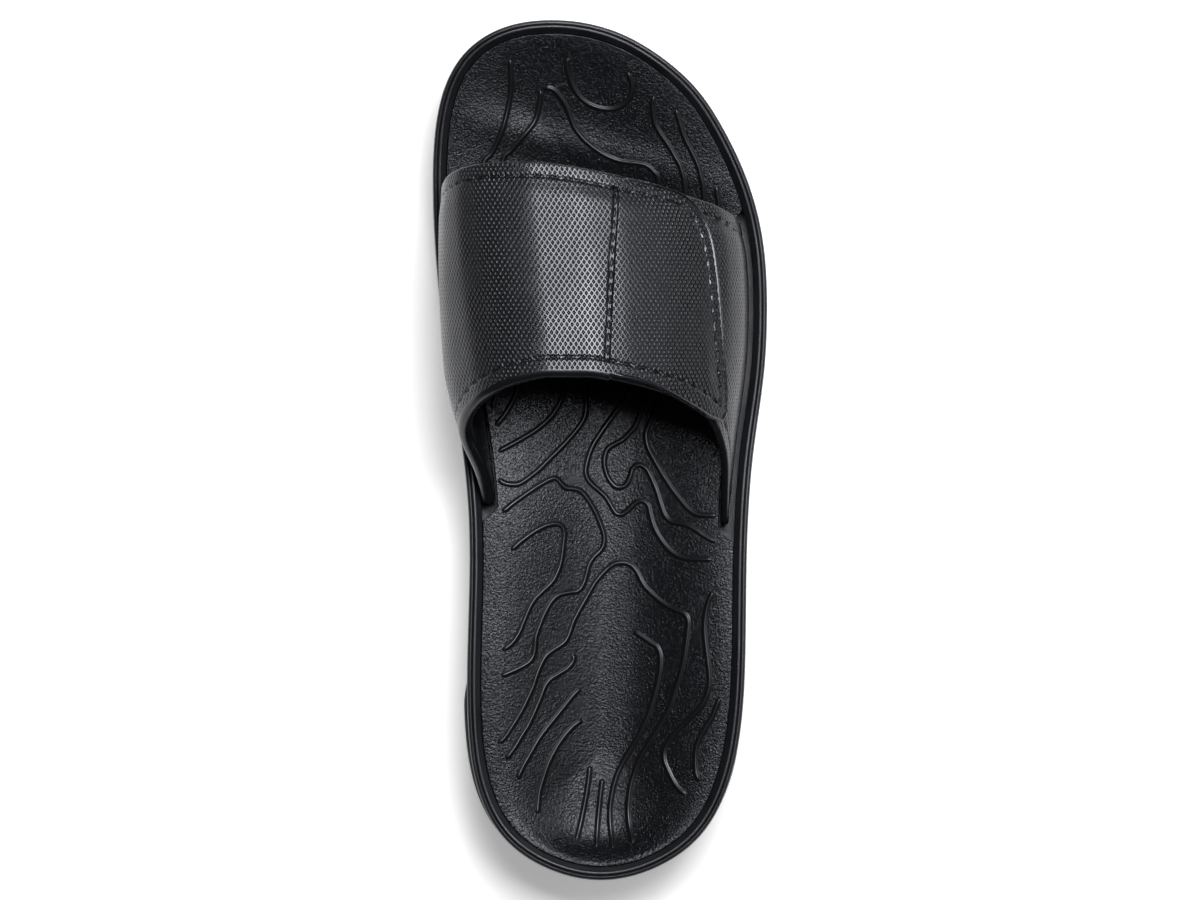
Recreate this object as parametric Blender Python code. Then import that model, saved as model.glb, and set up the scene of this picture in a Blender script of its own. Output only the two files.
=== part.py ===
"""A right-foot sport slide sandal of moulded foam, built from its separate parts.

+Y points to the toe, +X to the outer (little toe) side and +Z up. The origin lies on the ground
under the middle of the sandal's length and width.
"""

import math

import bmesh
import bpy
import numpy as np
from mathutils import Vector
from mathutils.geometry import delaunay_2d_cdt

MM = 0.001

# Overall sizes
LENGTH = 292 * MM
BALL_WIDTH = 114 * MM
HEEL_HEIGHT = 36 * MM
TOE_SPRING = 11 * MM
CUP_DEPTH = 9 * MM
SEAT_GAP = 0.3 * MM
EDGE_CUT = 0.8 * MM

# Outsole: its side, the raised core that keys it into the midsole, and its tread
OUTSOLE_SIDE = 7 * MM
OUTSOLE_CORE = 10 * MM
CORE_INSET = 6 * MM
CORE_DRAFT = 0.6 * MM
TREAD_STEP = 1.0 * MM
TREAD_BORDER = 3.3 * MM
TREAD_ROUND = 1.0 * MM
TREAD_TILT = 0.144
LIP = 1.6 * MM
FLARE = 8 * MM

# Midsole: side grooves, rim, bead, and the tub inside the rim
RIM_WIDTH = 4.6 * MM
RIM_ROUND = 1.0 * MM
BEAD_INSET = 2.3 * MM
BEAD_WIDTH = 2.0 * MM
RIM_GROOVE = 1.1 * MM
BEAD_FOOT = 0.3 * MM
SIDE_GROOVE_WIDTH = 1.3 * MM
SIDE_GROOVE_DEPTH = 0.8 * MM

# Footbed
FOOTBED_THICKNESS = 4 * MM
FOOTBED_DROP = 1.0 * MM
FOOTBED_ROUND = 0.8 * MM
CUP_WALL = 26 * MM
CUP_LOW = 0.53
CUP_BLEND = 8 * MM
# The share of that wall's width at the heel's tip, and the station where it has its full width
HEEL_WALL = 0.40
HEEL_WALL_END = 0.15
ARCH_RISE = 1.5 * MM
TOE_RIDGE = 1.2 * MM

# Strap: the wall of the band, of the part under the flap, and of the flap
BAND_WALL = 4.6 * MM
UNDER_WALL = 2.8 * MM
FLAP_WALL = 1.5 * MM
FLAP_MARGIN = 1.2 * MM
FLAP_ROUND = 0.45 * MM
STRAP_FRONT_HEIGHT = 68 * MM
STRAP_REAR_HEIGHT = 83 * MM
STRAP_BULGE = 5.0 * MM
ROOT_CLEAR = 0.9 * MM
ROOT_SLACK = 1.5 * MM
ROOT_TAPER = 4 * MM

# Widths and depths in the tread
GROOVE_WIDTH = 3.6 * MM
GROOVE_DEPTH = 4.5 * MM
BAND_HALF = 8.0 * MM
BAND_DEPTH = 0.85 * MM
TROUGH_WIDTH = 15 * MM
TROUGH_DEPTH = 1.9 * MM
WELL_DEPTH = 7.0 * MM
WELL_RING = 3.2 * MM
RING_DEPTH = 1.2 * MM
PAD_DEPTH = 0.9 * MM
PAD_CORNER = 1.6 * MM
RIB_GROOVE = 1.7 * MM
RIB_DEPTH = 1.6 * MM
RIB_STOP = 1.2 * MM
NOTCH_REACH = 12 * MM
NOTCH_WIDTH = 9.0 * MM
NOTCH_SLOT = 4.0 * MM
NOTCH_DEPTH = 5.0 * MM

# How finely the round shapes are cut
RIM_STEPS = 36
DISH_COLUMNS = (0.05, 0.12, 0.22, 0.36, 0.5, 0.64, 0.78, 0.88, 0.95)
STRAP_ROWS = 9
FLAP_COLUMNS = 8
FLAP_SHARES = (0.0, 0.02, 0.05, 0.12, 0.25, 0.4, 0.55, 0.7, 0.84, 0.92, 0.965, 0.985, 1.0)

# The rim seen from above: station as a share of LENGTH from the heel, then the inner and the
# outer edge as shares of half BALL_WIDTH
RIM_OUTLINE = (
    # station, inner, outer
    (0.016, 0.34, 0.35),
    (0.052, 0.585, 0.60),
    (0.105, 0.725, 0.755),
    (0.190, 0.788, 0.848),
    (0.300, 0.785, 0.872),
    (0.420, 0.783, 0.886),
    (0.500, 0.822, 0.920),
    (0.590, 0.900, 0.982),
    (0.670, 0.955, 1.000),
    (0.740, 0.986, 0.978),
    (0.810, 0.998, 0.890),
    (0.870, 0.984, 0.750),
    (0.920, 0.930, 0.580),
    (0.957, 0.828, 0.370),
    (0.984, 0.660, 0.130),
)
HEEL_TIP = 0.02
TOE_TIP = -0.29

# The side seen from beside: ground and rim as shares of TOE_SPRING and HEEL_HEIGHT, dish as a
# share of CUP_DEPTH
PROFILE = (
    # station, ground, rim, dish
    (0.00, 0.34, 1.03, 0.90),
    (0.03, 0.16, 1.02, 0.95),
    (0.08, 0.00, 1.00, 1.00),
    (0.24, 0.00, 0.98, 1.00),
    (0.32, 0.04, 0.95, 0.96),
    (0.42, 0.09, 0.90, 0.88),
    (0.55, 0.00, 0.80, 0.68),
    (0.74, 0.00, 0.76, 0.64),
    (0.82, 0.12, 0.80, 0.56),
    (0.91, 0.45, 0.88, 0.44),
    (1.00, 1.00, 1.00, 0.42),
)

# How far the bottom edge stands in from the rim, as shares of FLARE, and how far the outsole's
# lip stands out past the midsole, as a share of LIP
LEAN = (
    # station, inner, outer, lip
    (0.00, 0.10, 0.10, 0.60),
    (0.10, 0.02, 0.10, 0.90),
    (0.20, 0.02, 0.25, 1.00),
    (0.26, 0.30, 0.55, 0.35),
    (0.40, 0.70, 1.00, 0.15),
    (0.52, 0.62, 0.85, 0.15),
    (0.66, 0.25, 0.25, 0.15),
    (0.80, 0.12, 0.15, 0.20),
    (0.92, 0.25, 0.25, 0.30),
    (1.00, 0.35, 0.35, 0.35),
)

# The strap's arch: across as a share of the way between its roots, rise as a share of its
# height over the rim, then where its front and rear edges run, as shares of LENGTH
STRAP_ARCH = (
    # place, across, rise, front edge, rear edge
    (0.00, 0.000, 0.000, 0.783, 0.436),
    (0.07, -0.006, 0.140, 0.793, 0.468),
    (0.14, -0.012, 0.320, 0.804, 0.500),
    (0.22, 0.000, 0.560, 0.815, 0.530),
    (0.29, 0.035, 0.750, 0.823, 0.552),
    (0.36, 0.105, 0.890, 0.829, 0.567),
    (0.43, 0.200, 0.965, 0.832, 0.578),
    (0.50, 0.310, 0.998, 0.832, 0.584),
    (0.57, 0.430, 1.000, 0.828, 0.584),
    (0.64, 0.555, 0.962, 0.820, 0.577),
    (0.71, 0.675, 0.880, 0.811, 0.567),
    (0.78, 0.785, 0.750, 0.801, 0.554),
    (0.85, 0.880, 0.597, 0.791, 0.535),
    (0.91, 0.946, 0.452, 0.782, 0.508),
    (0.96, 0.986, 0.262, 0.773, 0.470),
    (1.00, 1.000, 0.000, 0.765, 0.410),
)

# The seam where the flap begins: its place on the arch at the front edge and at the rear
SEAM_FRONT = 0.655
SEAM_REAR = 0.607
SEAM_STEP = 0.004

# The flap's free end: how far along the strap's edge-to-edge width, and its place on the arch
FLAP_END = (
    # share from the front edge, place
    (0.000, 0.778),
    (0.012, 0.802),
    (0.049, 0.825),
    (0.118, 0.841),
    (0.200, 0.849),
    (0.320, 0.8535),
    (0.440, 0.858),
    (0.580, 0.8655),
    (0.720, 0.878),
    (0.830, 0.892),
    (0.890, 0.895),
    (0.940, 0.888),
    (0.975, 0.869),
    (1.000, 0.836),
)

# Tread features lie on lines that climb to the toe on the inner side. Each is placed where its
# line crosses the middle of the sole, as a share of LENGTH from the middle.
GROOVES = (0.281, 0.064, -0.135)
TROUGHS = (0.383, 0.167, -0.040, -0.247)
HEEL_RIBS = 9
HEEL_RIB_FIRST = -0.292
HEEL_RIB_PITCH = 0.0230
HEEL_RIBS_BY_WELL = 5
TOE_RIBS = 4
TOE_RIB_FIRST = 0.421
TOE_RIB_PITCH = 0.0195

# Wells: the middles of their two round ends across and along, as shares of BALL_WIDTH and
# LENGTH, and their radius as a share of BALL_WIDTH
WELLS = (
    # toe end across, along, heel end across, along, radius
    (-0.075, 0.398, -0.037, 0.262, 0.079),
    (0.005, 0.090, 0.013, 0.040, 0.070),
    (0.019, -0.108, 0.008, -0.357, 0.075),
)

# Pads: their toe and heel edges as shares of LENGTH, and the four corners across as shares of
# BALL_WIDTH: toe edge left and right, then heel edge left and right
PADS = (
    # toe edge, heel edge, toe left, toe right, heel left, heel right
    (0.350, 0.318, 0.247, 0.371, 0.250, 0.401),
    (0.350, 0.318, 0.090, 0.218, 0.093, 0.220),
    (0.352, 0.324, -0.297, -0.188, -0.295, -0.186),
    (0.352, 0.324, -0.436, -0.322, -0.433, -0.320),
    (0.236, 0.190, 0.275, 0.455, 0.279, 0.439),
    (0.236, 0.190, 0.084, 0.255, 0.088, 0.259),
    (0.243, 0.198, -0.295, -0.165, -0.292, -0.161),
    (0.243, 0.198, -0.451, -0.317, -0.448, -0.314),
    (0.140, 0.104, 0.284, 0.415, 0.286, 0.393),
    (0.140, 0.104, 0.136, 0.262, 0.139, 0.259),
    (0.145, 0.107, -0.260, -0.128, -0.257, -0.125),
    (0.145, 0.107, -0.414, -0.284, -0.411, -0.281),
    (0.024, -0.014, 0.135, 0.327, 0.138, 0.308),
    (0.026, -0.017, -0.308, -0.136, -0.281, -0.163),
    (-0.066, -0.099, 0.152, 0.338, 0.155, 0.340),
    (-0.066, -0.099, -0.311, -0.125, -0.309, -0.123),
    (-0.177, -0.212, 0.150, 0.393, 0.152, 0.396),
    (-0.177, -0.208, -0.336, -0.116, -0.333, -0.113),
)

# Heights in the tread closer than this are one level, and the reach over which an outline's or
# a face's direction is taken
LEVEL = 0.02 * MM
REACH = 1.5 * MM


def column(table, index):
    """One named column of a table, as an array."""
    return np.array([row[index] for row in table], float)


def follow(xs, ys, x):
    """A smooth curve through a table's rows with no overshoot: level where the table is level."""
    xs, ys = np.asarray(xs, float), np.asarray(ys, float)
    x = np.clip(np.asarray(x, float), xs[0], xs[-1])
    run = np.diff(xs)
    rate = np.diff(ys) / run
    slope = np.zeros(len(xs))
    slope[0], slope[-1] = rate[0], rate[-1]
    same = rate[:-1] * rate[1:] > 0
    total = np.where(same, rate[:-1] + rate[1:], 1.0)
    slope[1:-1] = np.where(same, 2 * rate[:-1] * rate[1:] / total, 0.0)
    k = np.clip(np.searchsorted(xs, x, side="right") - 1, 0, len(run) - 1)
    t = (x - xs[k]) / run[k]
    start = (1 + 2 * t) * (1 - t) ** 2 * ys[k] + t * (1 - t) ** 2 * run[k] * slope[k]
    end = t * t * (3 - 2 * t) * ys[k + 1] - t * t * (1 - t) * run[k] * slope[k + 1]
    return start + end


def closed_spline(points, samples):
    """A smooth closed curve through the points, evenly sampled between each pair of them."""
    points = np.asarray(points, float)
    n = len(points)
    chord = np.linalg.norm(np.roll(points, -1, 0) - points, axis=1)
    before = np.roll(chord, 1)
    system = np.zeros((n, n))
    right = np.zeros((n, 2))
    for i in range(n):
        system[i, i - 1] += chord[i]
        system[i, i] += 2 * (chord[i] + before[i])
        system[i, (i + 1) % n] += before[i]
        ahead = (points[(i + 1) % n] - points[i]) / chord[i]
        behind = (points[i] - points[i - 1]) / before[i]
        right[i] = 3 * (before[i] * ahead + chord[i] * behind)
    tangent = np.linalg.solve(system, right)
    t = np.arange(samples)[:, None] / samples
    curve = []
    for i in range(n):
        j = (i + 1) % n
        curve.append(
            (1 + 2 * t) * (1 - t) ** 2 * points[i]
            + t * (1 - t) ** 2 * chord[i] * tangent[i]
            + t * t * (3 - 2 * t) * points[j]
            - t * t * (1 - t) * chord[i] * tangent[j]
        )
    return np.vstack(curve)


def make_rim_curve():
    """The rim's outline from the toe's tip round the outer side to the heel's tip and back,
    moved so that its length and width are centred, and how many points its outer half has."""
    half = BALL_WIDTH / 2
    outer = [(r[2] * half, r[0] * LENGTH) for r in reversed(RIM_OUTLINE)]
    inner = [(-r[1] * half, r[0] * LENGTH) for r in RIM_OUTLINE]
    tips = [(TOE_TIP * half, LENGTH)], [(HEEL_TIP * half, 0.0)]
    samples = 60
    curve = closed_spline(tips[0] + outer + tips[1] + inner, samples)
    toe, heel = int(curve[:, 1].argmax()), int(curve[:, 1].argmin())
    curve = np.roll(curve, -toe, 0)
    curve -= (curve.max(0) + curve.min(0)) / 2
    return curve, (heel - toe) % len(curve)


RIM_CURVE, OUTER_COUNT = make_rim_curve()


def station(y):
    """A place along the sandal as a share of its length from the heel."""
    return np.asarray(y) / LENGTH + 0.5


def profile(name, y):
    """Ground, rim or dish along the sandal, in metres."""
    index, size = {
        "ground": (1, TOE_SPRING),
        "rim": (2, HEEL_HEIGHT),
        "dish": (3, CUP_DEPTH),
    }[name]
    return size * follow(column(PROFILE, 0), column(PROFILE, index), station(y))


def tub_floor(y):
    """The height of the midsole's floor, under the footbed."""
    return profile("rim", y) - profile("dish", y) - FOOTBED_THICKNESS


def perimeter(shares):
    """Points of the rim's outline and their outward normals at shares of the way from the toe's
    tip to the heel's tip on the outer side, then back at the same shares on the inner side."""
    closed = np.vstack([RIM_CURVE, RIM_CURVE[:1]])
    travel = np.concatenate([[0], np.cumsum(np.linalg.norm(np.diff(closed, axis=0), axis=1))])
    turn = travel[OUTER_COUNT]
    outer = turn * np.asarray(shares)
    inner = travel[-1] - (travel[-1] - turn) * np.asarray(shares[-2:0:-1])
    places = np.concatenate([outer, inner])
    around = travel[-1]

    def at(s):
        s = np.mod(s, around)
        return np.column_stack([np.interp(s, travel, closed[:, i]) for i in (0, 1)])

    tangent = at(places + REACH) - at(places - REACH)
    tangent /= np.linalg.norm(tangent, axis=1)[:, None]
    return at(places), np.column_stack([-tangent[:, 1], tangent[:, 0]])


def even_shares(count=RIM_STEPS):
    return [i / count for i in range(count + 1)]


def lean(points, name):
    """How far the bottom edge stands in from the rim, or the lip stands out, at each point."""
    s = station(points[:, 1])
    if name == "lip":
        return LIP * follow(column(LEAN, 0), column(LEAN, 3), s)
    inner = follow(column(LEAN, 0), column(LEAN, 1), s)
    outer = follow(column(LEAN, 0), column(LEAN, 2), s)
    side = np.clip(0.5 + points[:, 0] / (0.5 * BALL_WIDTH), 0, 1)
    return FLARE * (inner * (1 - side) + outer * side)


class Solid:
    """A closed mesh put together from rings of points, strips between rings, and covers."""

    def __init__(self, name, colour, roughness):
        self.name, self.colour, self.roughness = name, colour, roughness
        self.verts, self.faces = [], []

    def ring(self, points):
        start = len(self.verts)
        self.verts += [tuple(p) for p in points]
        return list(range(start, start + len(points)))

    def bridge(self, lower, upper, closed=True):
        """Quads between two rings; they face outwards where the rings climb and turn
        anticlockwise seen from above."""
        n = len(lower)
        for i in range(n if closed else n - 1):
            j = (i + 1) % n
            self.faces.append((lower[i], lower[j], upper[j], upper[i]))

    def cover(self, ring, across=(), height=None, up=True):
        """Closes a ring of 2n points with strips between its two sides, through points at the
        shares in across, whose height is given by a function of x and y."""
        n = len(ring) // 2
        rows = []
        for i in range(1, n):
            a, b = Vector(self.verts[ring[i]]), Vector(self.verts[ring[-i]])
            middle = []
            for share in across:
                p = a.lerp(b, share)
                middle.append((p.x, p.y, height(p.x, p.y)))
            rows.append([ring[i]] + self.ring(middle) + [ring[-i]])
        made = []
        for row, after in zip(rows, rows[1:]):
            for k in range(len(row) - 1):
                made.append((row[k], row[k + 1], after[k + 1], after[k]))
        for tip, row in ((ring[0], rows[0]), (ring[n], rows[-1][::-1])):
            for k in range(len(row) - 1):
                made.append((tip, row[k + 1], row[k]))
        self.faces += made if up else [f[::-1] for f in made]

    def build(self):
        mesh = bpy.data.meshes.new(self.name)
        mesh.from_pydata(self.verts, [], self.faces)
        work = bmesh.new()
        work.from_mesh(mesh)
        bmesh.ops.triangulate(work, faces=work.faces)
        bmesh.ops.recalc_face_normals(work, faces=work.faces)
        work.to_mesh(mesh)
        work.free()
        mesh.shade_smooth()
        mesh.set_sharp_from_angle(angle=math.radians(35))
        made = bpy.data.objects.new(self.name, mesh)
        bpy.context.scene.collection.objects.link(made)
        made.data.materials.append(foam(self.name, self.colour, self.roughness))
        return made


def foam(name, colour, roughness):
    """The moulded foam of one part."""
    material = bpy.data.materials.new(name)
    material.use_nodes = True
    shader = material.node_tree.nodes["Principled BSDF"]
    shader.inputs["Base Color"].default_value = (*colour, 1)
    shader.inputs["Roughness"].default_value = roughness
    shader.inputs["Metallic"].default_value = 0.0
    return material


def raised(flat, height):
    """Points over a plan outline at a height, or at one height for each point."""
    height = np.broadcast_to(height, len(flat))
    return np.column_stack([flat, height])


def bottom_outline():
    """The bottom edge seen from above, its outward normals, and the lean of its side."""
    rim, out = perimeter(even_shares())
    inset = lean(rim, "inset")
    lip = lean(rim, "lip")
    bottom = rim - out * (inset - lip)[:, None]
    side = rim - out * (inset * (1 - OUTSOLE_SIDE / HEEL_HEIGHT) - lip)[:, None]
    return rim, out, bottom, side


def line_y(along, x):
    """The y of a tilted tread line that crosses the middle of the sole at along."""
    return along - TREAD_TILT * x


def obround(toe, heel, radius, steps=6):
    """The outline of a slot with round ends, from the middles of its ends."""
    toe, heel = np.array(toe), np.array(heel)
    run = toe - heel
    turn = math.atan2(run[1], run[0])
    points = []
    for middle, start in ((toe, turn - math.pi / 2), (heel, turn + math.pi / 2)):
        for k in range(steps + 1):
            a = start + math.pi * k / steps
            points.append(middle + radius * np.array([math.cos(a), math.sin(a)]))
    return np.array(points)


def away_from(toe, heel, x, y):
    """How far a place is from the line between the middles of a slot's ends."""
    run = (heel[0] - toe[0], heel[1] - toe[1])
    long = run[0] ** 2 + run[1] ** 2
    t = ((x - toe[0]) * run[0] + (y - toe[1]) * run[1]) / long
    t = min(max(t, 0.0), 1.0)
    return math.hypot(x - toe[0] - t * run[0], y - toe[1] - t * run[1])


def inside(outline, x, y):
    """Whether a place lies inside a closed outline."""
    hit = False
    for (ax, ay), (bx, by) in zip(outline, np.roll(outline, -1, 0)):
        if (ay > y) != (by > y) and x < ax + (y - ay) * (bx - ax) / (by - ay):
            hit = not hit
    return hit


class Feature:
    """One kind of hollow in the tread: its lines, where it holds, and how deep it is."""

    def __init__(self, lines, holds, depth):
        self.lines, self.holds, self.depth = lines, holds, depth


def strip_feature(along, half, depth, left=None, right=None, offsets=(-1.0, 1.0)):
    """A hollow between two tilted lines; depth is a function of the offset's share."""
    reach = 0.6 * BALL_WIDTH
    left, right = (-reach if left is None else left), (reach if right is None else right)
    lines = []
    for share in offsets:
        ends = [(x, line_y(along + share * half, x)) for x in (left, right)]
        lines.append((ends, False))
    for x in (left, right):
        if abs(x) < reach:
            lines.append(([(x, line_y(along + d * half, x)) for d in (-1, 1)], False))

    def share_at(x, y):
        return (y - line_y(along, x)) / half

    def holds(x, y):
        return left <= x <= right and abs(share_at(x, y)) <= 1.0

    return Feature(lines, holds, lambda x, y: depth(min(abs(share_at(x, y)), 1.0)))


def slot_feature(toe, heel, radius, levels):
    """A slot-shaped hollow with round ends. The levels are (share of the radius, depth) from
    its edge to its middle."""
    lines = [(obround(toe, heel, radius * share), True) for share, _ in levels]
    shares = [share for share, _ in levels][::-1]
    depths = [depth for _, depth in levels][::-1]

    def depth(x, y):
        return float(np.interp(away_from(toe, heel, x, y) / radius, shares, depths))

    return Feature(lines, lambda x, y: away_from(toe, heel, x, y) <= radius, depth)


def pad_feature(pad):
    """A pad: a shallow window with cut corners, its toe and heel edges on tilted lines."""
    toe, heel = pad[0] * LENGTH, pad[1] * LENGTH
    toe_left, toe_right, heel_left, heel_right = (v * BALL_WIDTH for v in pad[2:])
    corners = [
        (heel_left, line_y(heel, heel_left)),
        (heel_right, line_y(heel, heel_right)),
        (toe_right, line_y(toe, toe_right)),
        (toe_left, line_y(toe, toe_left)),
    ]
    outline = []
    for i in range(4):
        here = Vector(corners[i])
        for other in (corners[i - 1], corners[(i + 1) % 4]):
            outline.append(tuple(here + (Vector(other) - here).normalized() * PAD_CORNER))
    outline = np.array(outline)
    return Feature(
        [(outline, True)], lambda x, y: inside(outline, x, y), lambda x, y: PAD_DEPTH
    )


def well_ends(well):
    """The middles of a well's round ends and its radius, in metres."""
    toe = (well[0] * BALL_WIDTH, well[1] * LENGTH)
    heel = (well[2] * BALL_WIDTH, well[3] * LENGTH)
    return toe, heel, well[4] * BALL_WIDTH


def rib_features():
    """The rib grooves at the heel and toe; those beside a well stop short of its ring."""
    ribs = []

    def add(along, left=None, right=None):
        ribs.append(strip_feature(along, RIB_GROOVE / 2, lambda d: RIB_DEPTH, left, right))

    def beside(along, well):
        toe, heel, radius = well_ends(well)
        share = (along - toe[1]) / (heel[1] - toe[1])
        middle = toe[0] + (heel[0] - toe[0]) * share
        stop = radius + WELL_RING + RIB_STOP
        add(along, None, middle - stop)
        add(along, middle + stop, None)

    for i in range(HEEL_RIBS):
        along = (HEEL_RIB_FIRST - i * HEEL_RIB_PITCH) * LENGTH
        if i < HEEL_RIBS_BY_WELL:
            beside(along, WELLS[2])
        else:
            add(along)
    for i in range(TOE_RIBS):
        along = (TOE_RIB_FIRST + i * TOE_RIB_PITCH) * LENGTH
        if i == 0:
            beside(along, WELLS[0])
        else:
            add(along)
    return ribs


def notch_ends(along, outer, outline):
    """The inner end of a trough's side notch and a place beyond the sole's edge."""
    way = 1 if outer else -1
    half = outline[outline[:, 0] * way > 0]
    gap = np.abs(half[:, 1] - line_y(along, half[:, 0]))
    near = np.argsort(gap)[:2]
    edge = float(np.average(half[near, 0], weights=1 / (gap[near] + 1e-6)))
    inner = edge - way * (NOTCH_REACH - NOTCH_WIDTH / 2)
    beyond = edge + way * NOTCH_REACH
    return (inner, line_y(along, inner)), (beyond, line_y(along, beyond))


def tread_features(outline):
    """Every hollow of the tread; where two meet, the later one holds."""
    border = outline["border"]

    def in_border(x, y):
        return not inside(border, x, y)

    def scallop(d):
        return TROUGH_DEPTH * math.cos(d * math.pi / 2)

    features = [
        Feature([(border, True)], in_border, lambda x, y: TREAD_STEP),
    ]
    for share in GROOVES:
        features.append(strip_feature(share * LENGTH, BAND_HALF, lambda d: BAND_DEPTH))
    features += [pad_feature(pad) for pad in PADS]
    for well in WELLS:
        toe, heel, radius = well_ends(well)
        wide = radius + WELL_RING
        features.append(slot_feature(toe, heel, wide, ((1.0, RING_DEPTH),)))
    for share in TROUGHS:
        offsets = (-1.0, -0.66, -0.3, 0.3, 0.66, 1.0)
        half = TROUGH_WIDTH / 2
        features.append(strip_feature(share * LENGTH, half, scallop, offsets=offsets))
    for share in TROUGHS:
        for outer in (True, False):
            inner, beyond = notch_ends(share * LENGTH, outer, outline["bottom"])
            depth = TROUGH_DEPTH + TREAD_STEP
            features.append(slot_feature(inner, beyond, NOTCH_WIDTH / 2, ((1.0, depth),)))
    for share in GROOVES:
        half = GROOVE_WIDTH / 2
        features.append(strip_feature(share * LENGTH, half, lambda d: GROOVE_DEPTH))
    features += rib_features()
    for well in WELLS:
        toe, heel, radius = well_ends(well)
        steps = ((1.0, 0.35), (0.88, 0.75), (0.50, 1.0))
        levels = tuple((share, depth * WELL_DEPTH) for share, depth in steps)
        features.append(slot_feature(toe, heel, radius, levels))
    for share in TROUGHS:
        for outer in (True, False):
            inner, beyond = notch_ends(share * LENGTH, outer, outline["bottom"])
            features.append(slot_feature(inner, beyond, NOTCH_SLOT / 2, ((1.0, NOTCH_DEPTH),)))
    return features


def plan_of_lines(outline, features):
    """All the tread's lines cut where they cross, as points and triangles inside the sole."""
    points, edges = [], []
    for line, closed in [(outline, True)] + [l for f in features for l in f.lines]:
        start, n = len(points), len(line)
        points += [Vector((float(x), float(y))) for x, y in line]
        edges += [(start + i, start + (i + 1) % n) for i in range(n if closed else n - 1)]
    made = delaunay_2d_cdt(points, edges, [], 0, 1e-5, False)
    spots = [(v.x, v.y) for v in made[0]]
    kept = []
    for a, b, c in made[2]:
        x = (spots[a][0] + spots[b][0] + spots[c][0]) / 3
        y = (spots[a][1] + spots[b][1] + spots[c][1]) / 3
        if inside(outline, x, y):
            (ax, ay), (bx, by), (cx, cy) = spots[a], spots[b], spots[c]
            turn = (bx - ax) * (cy - ay) - (by - ay) * (cx - ax)
            kept.append(((a, b, c) if turn > 0 else (a, c, b), (x, y)))
    return spots, kept


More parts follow.
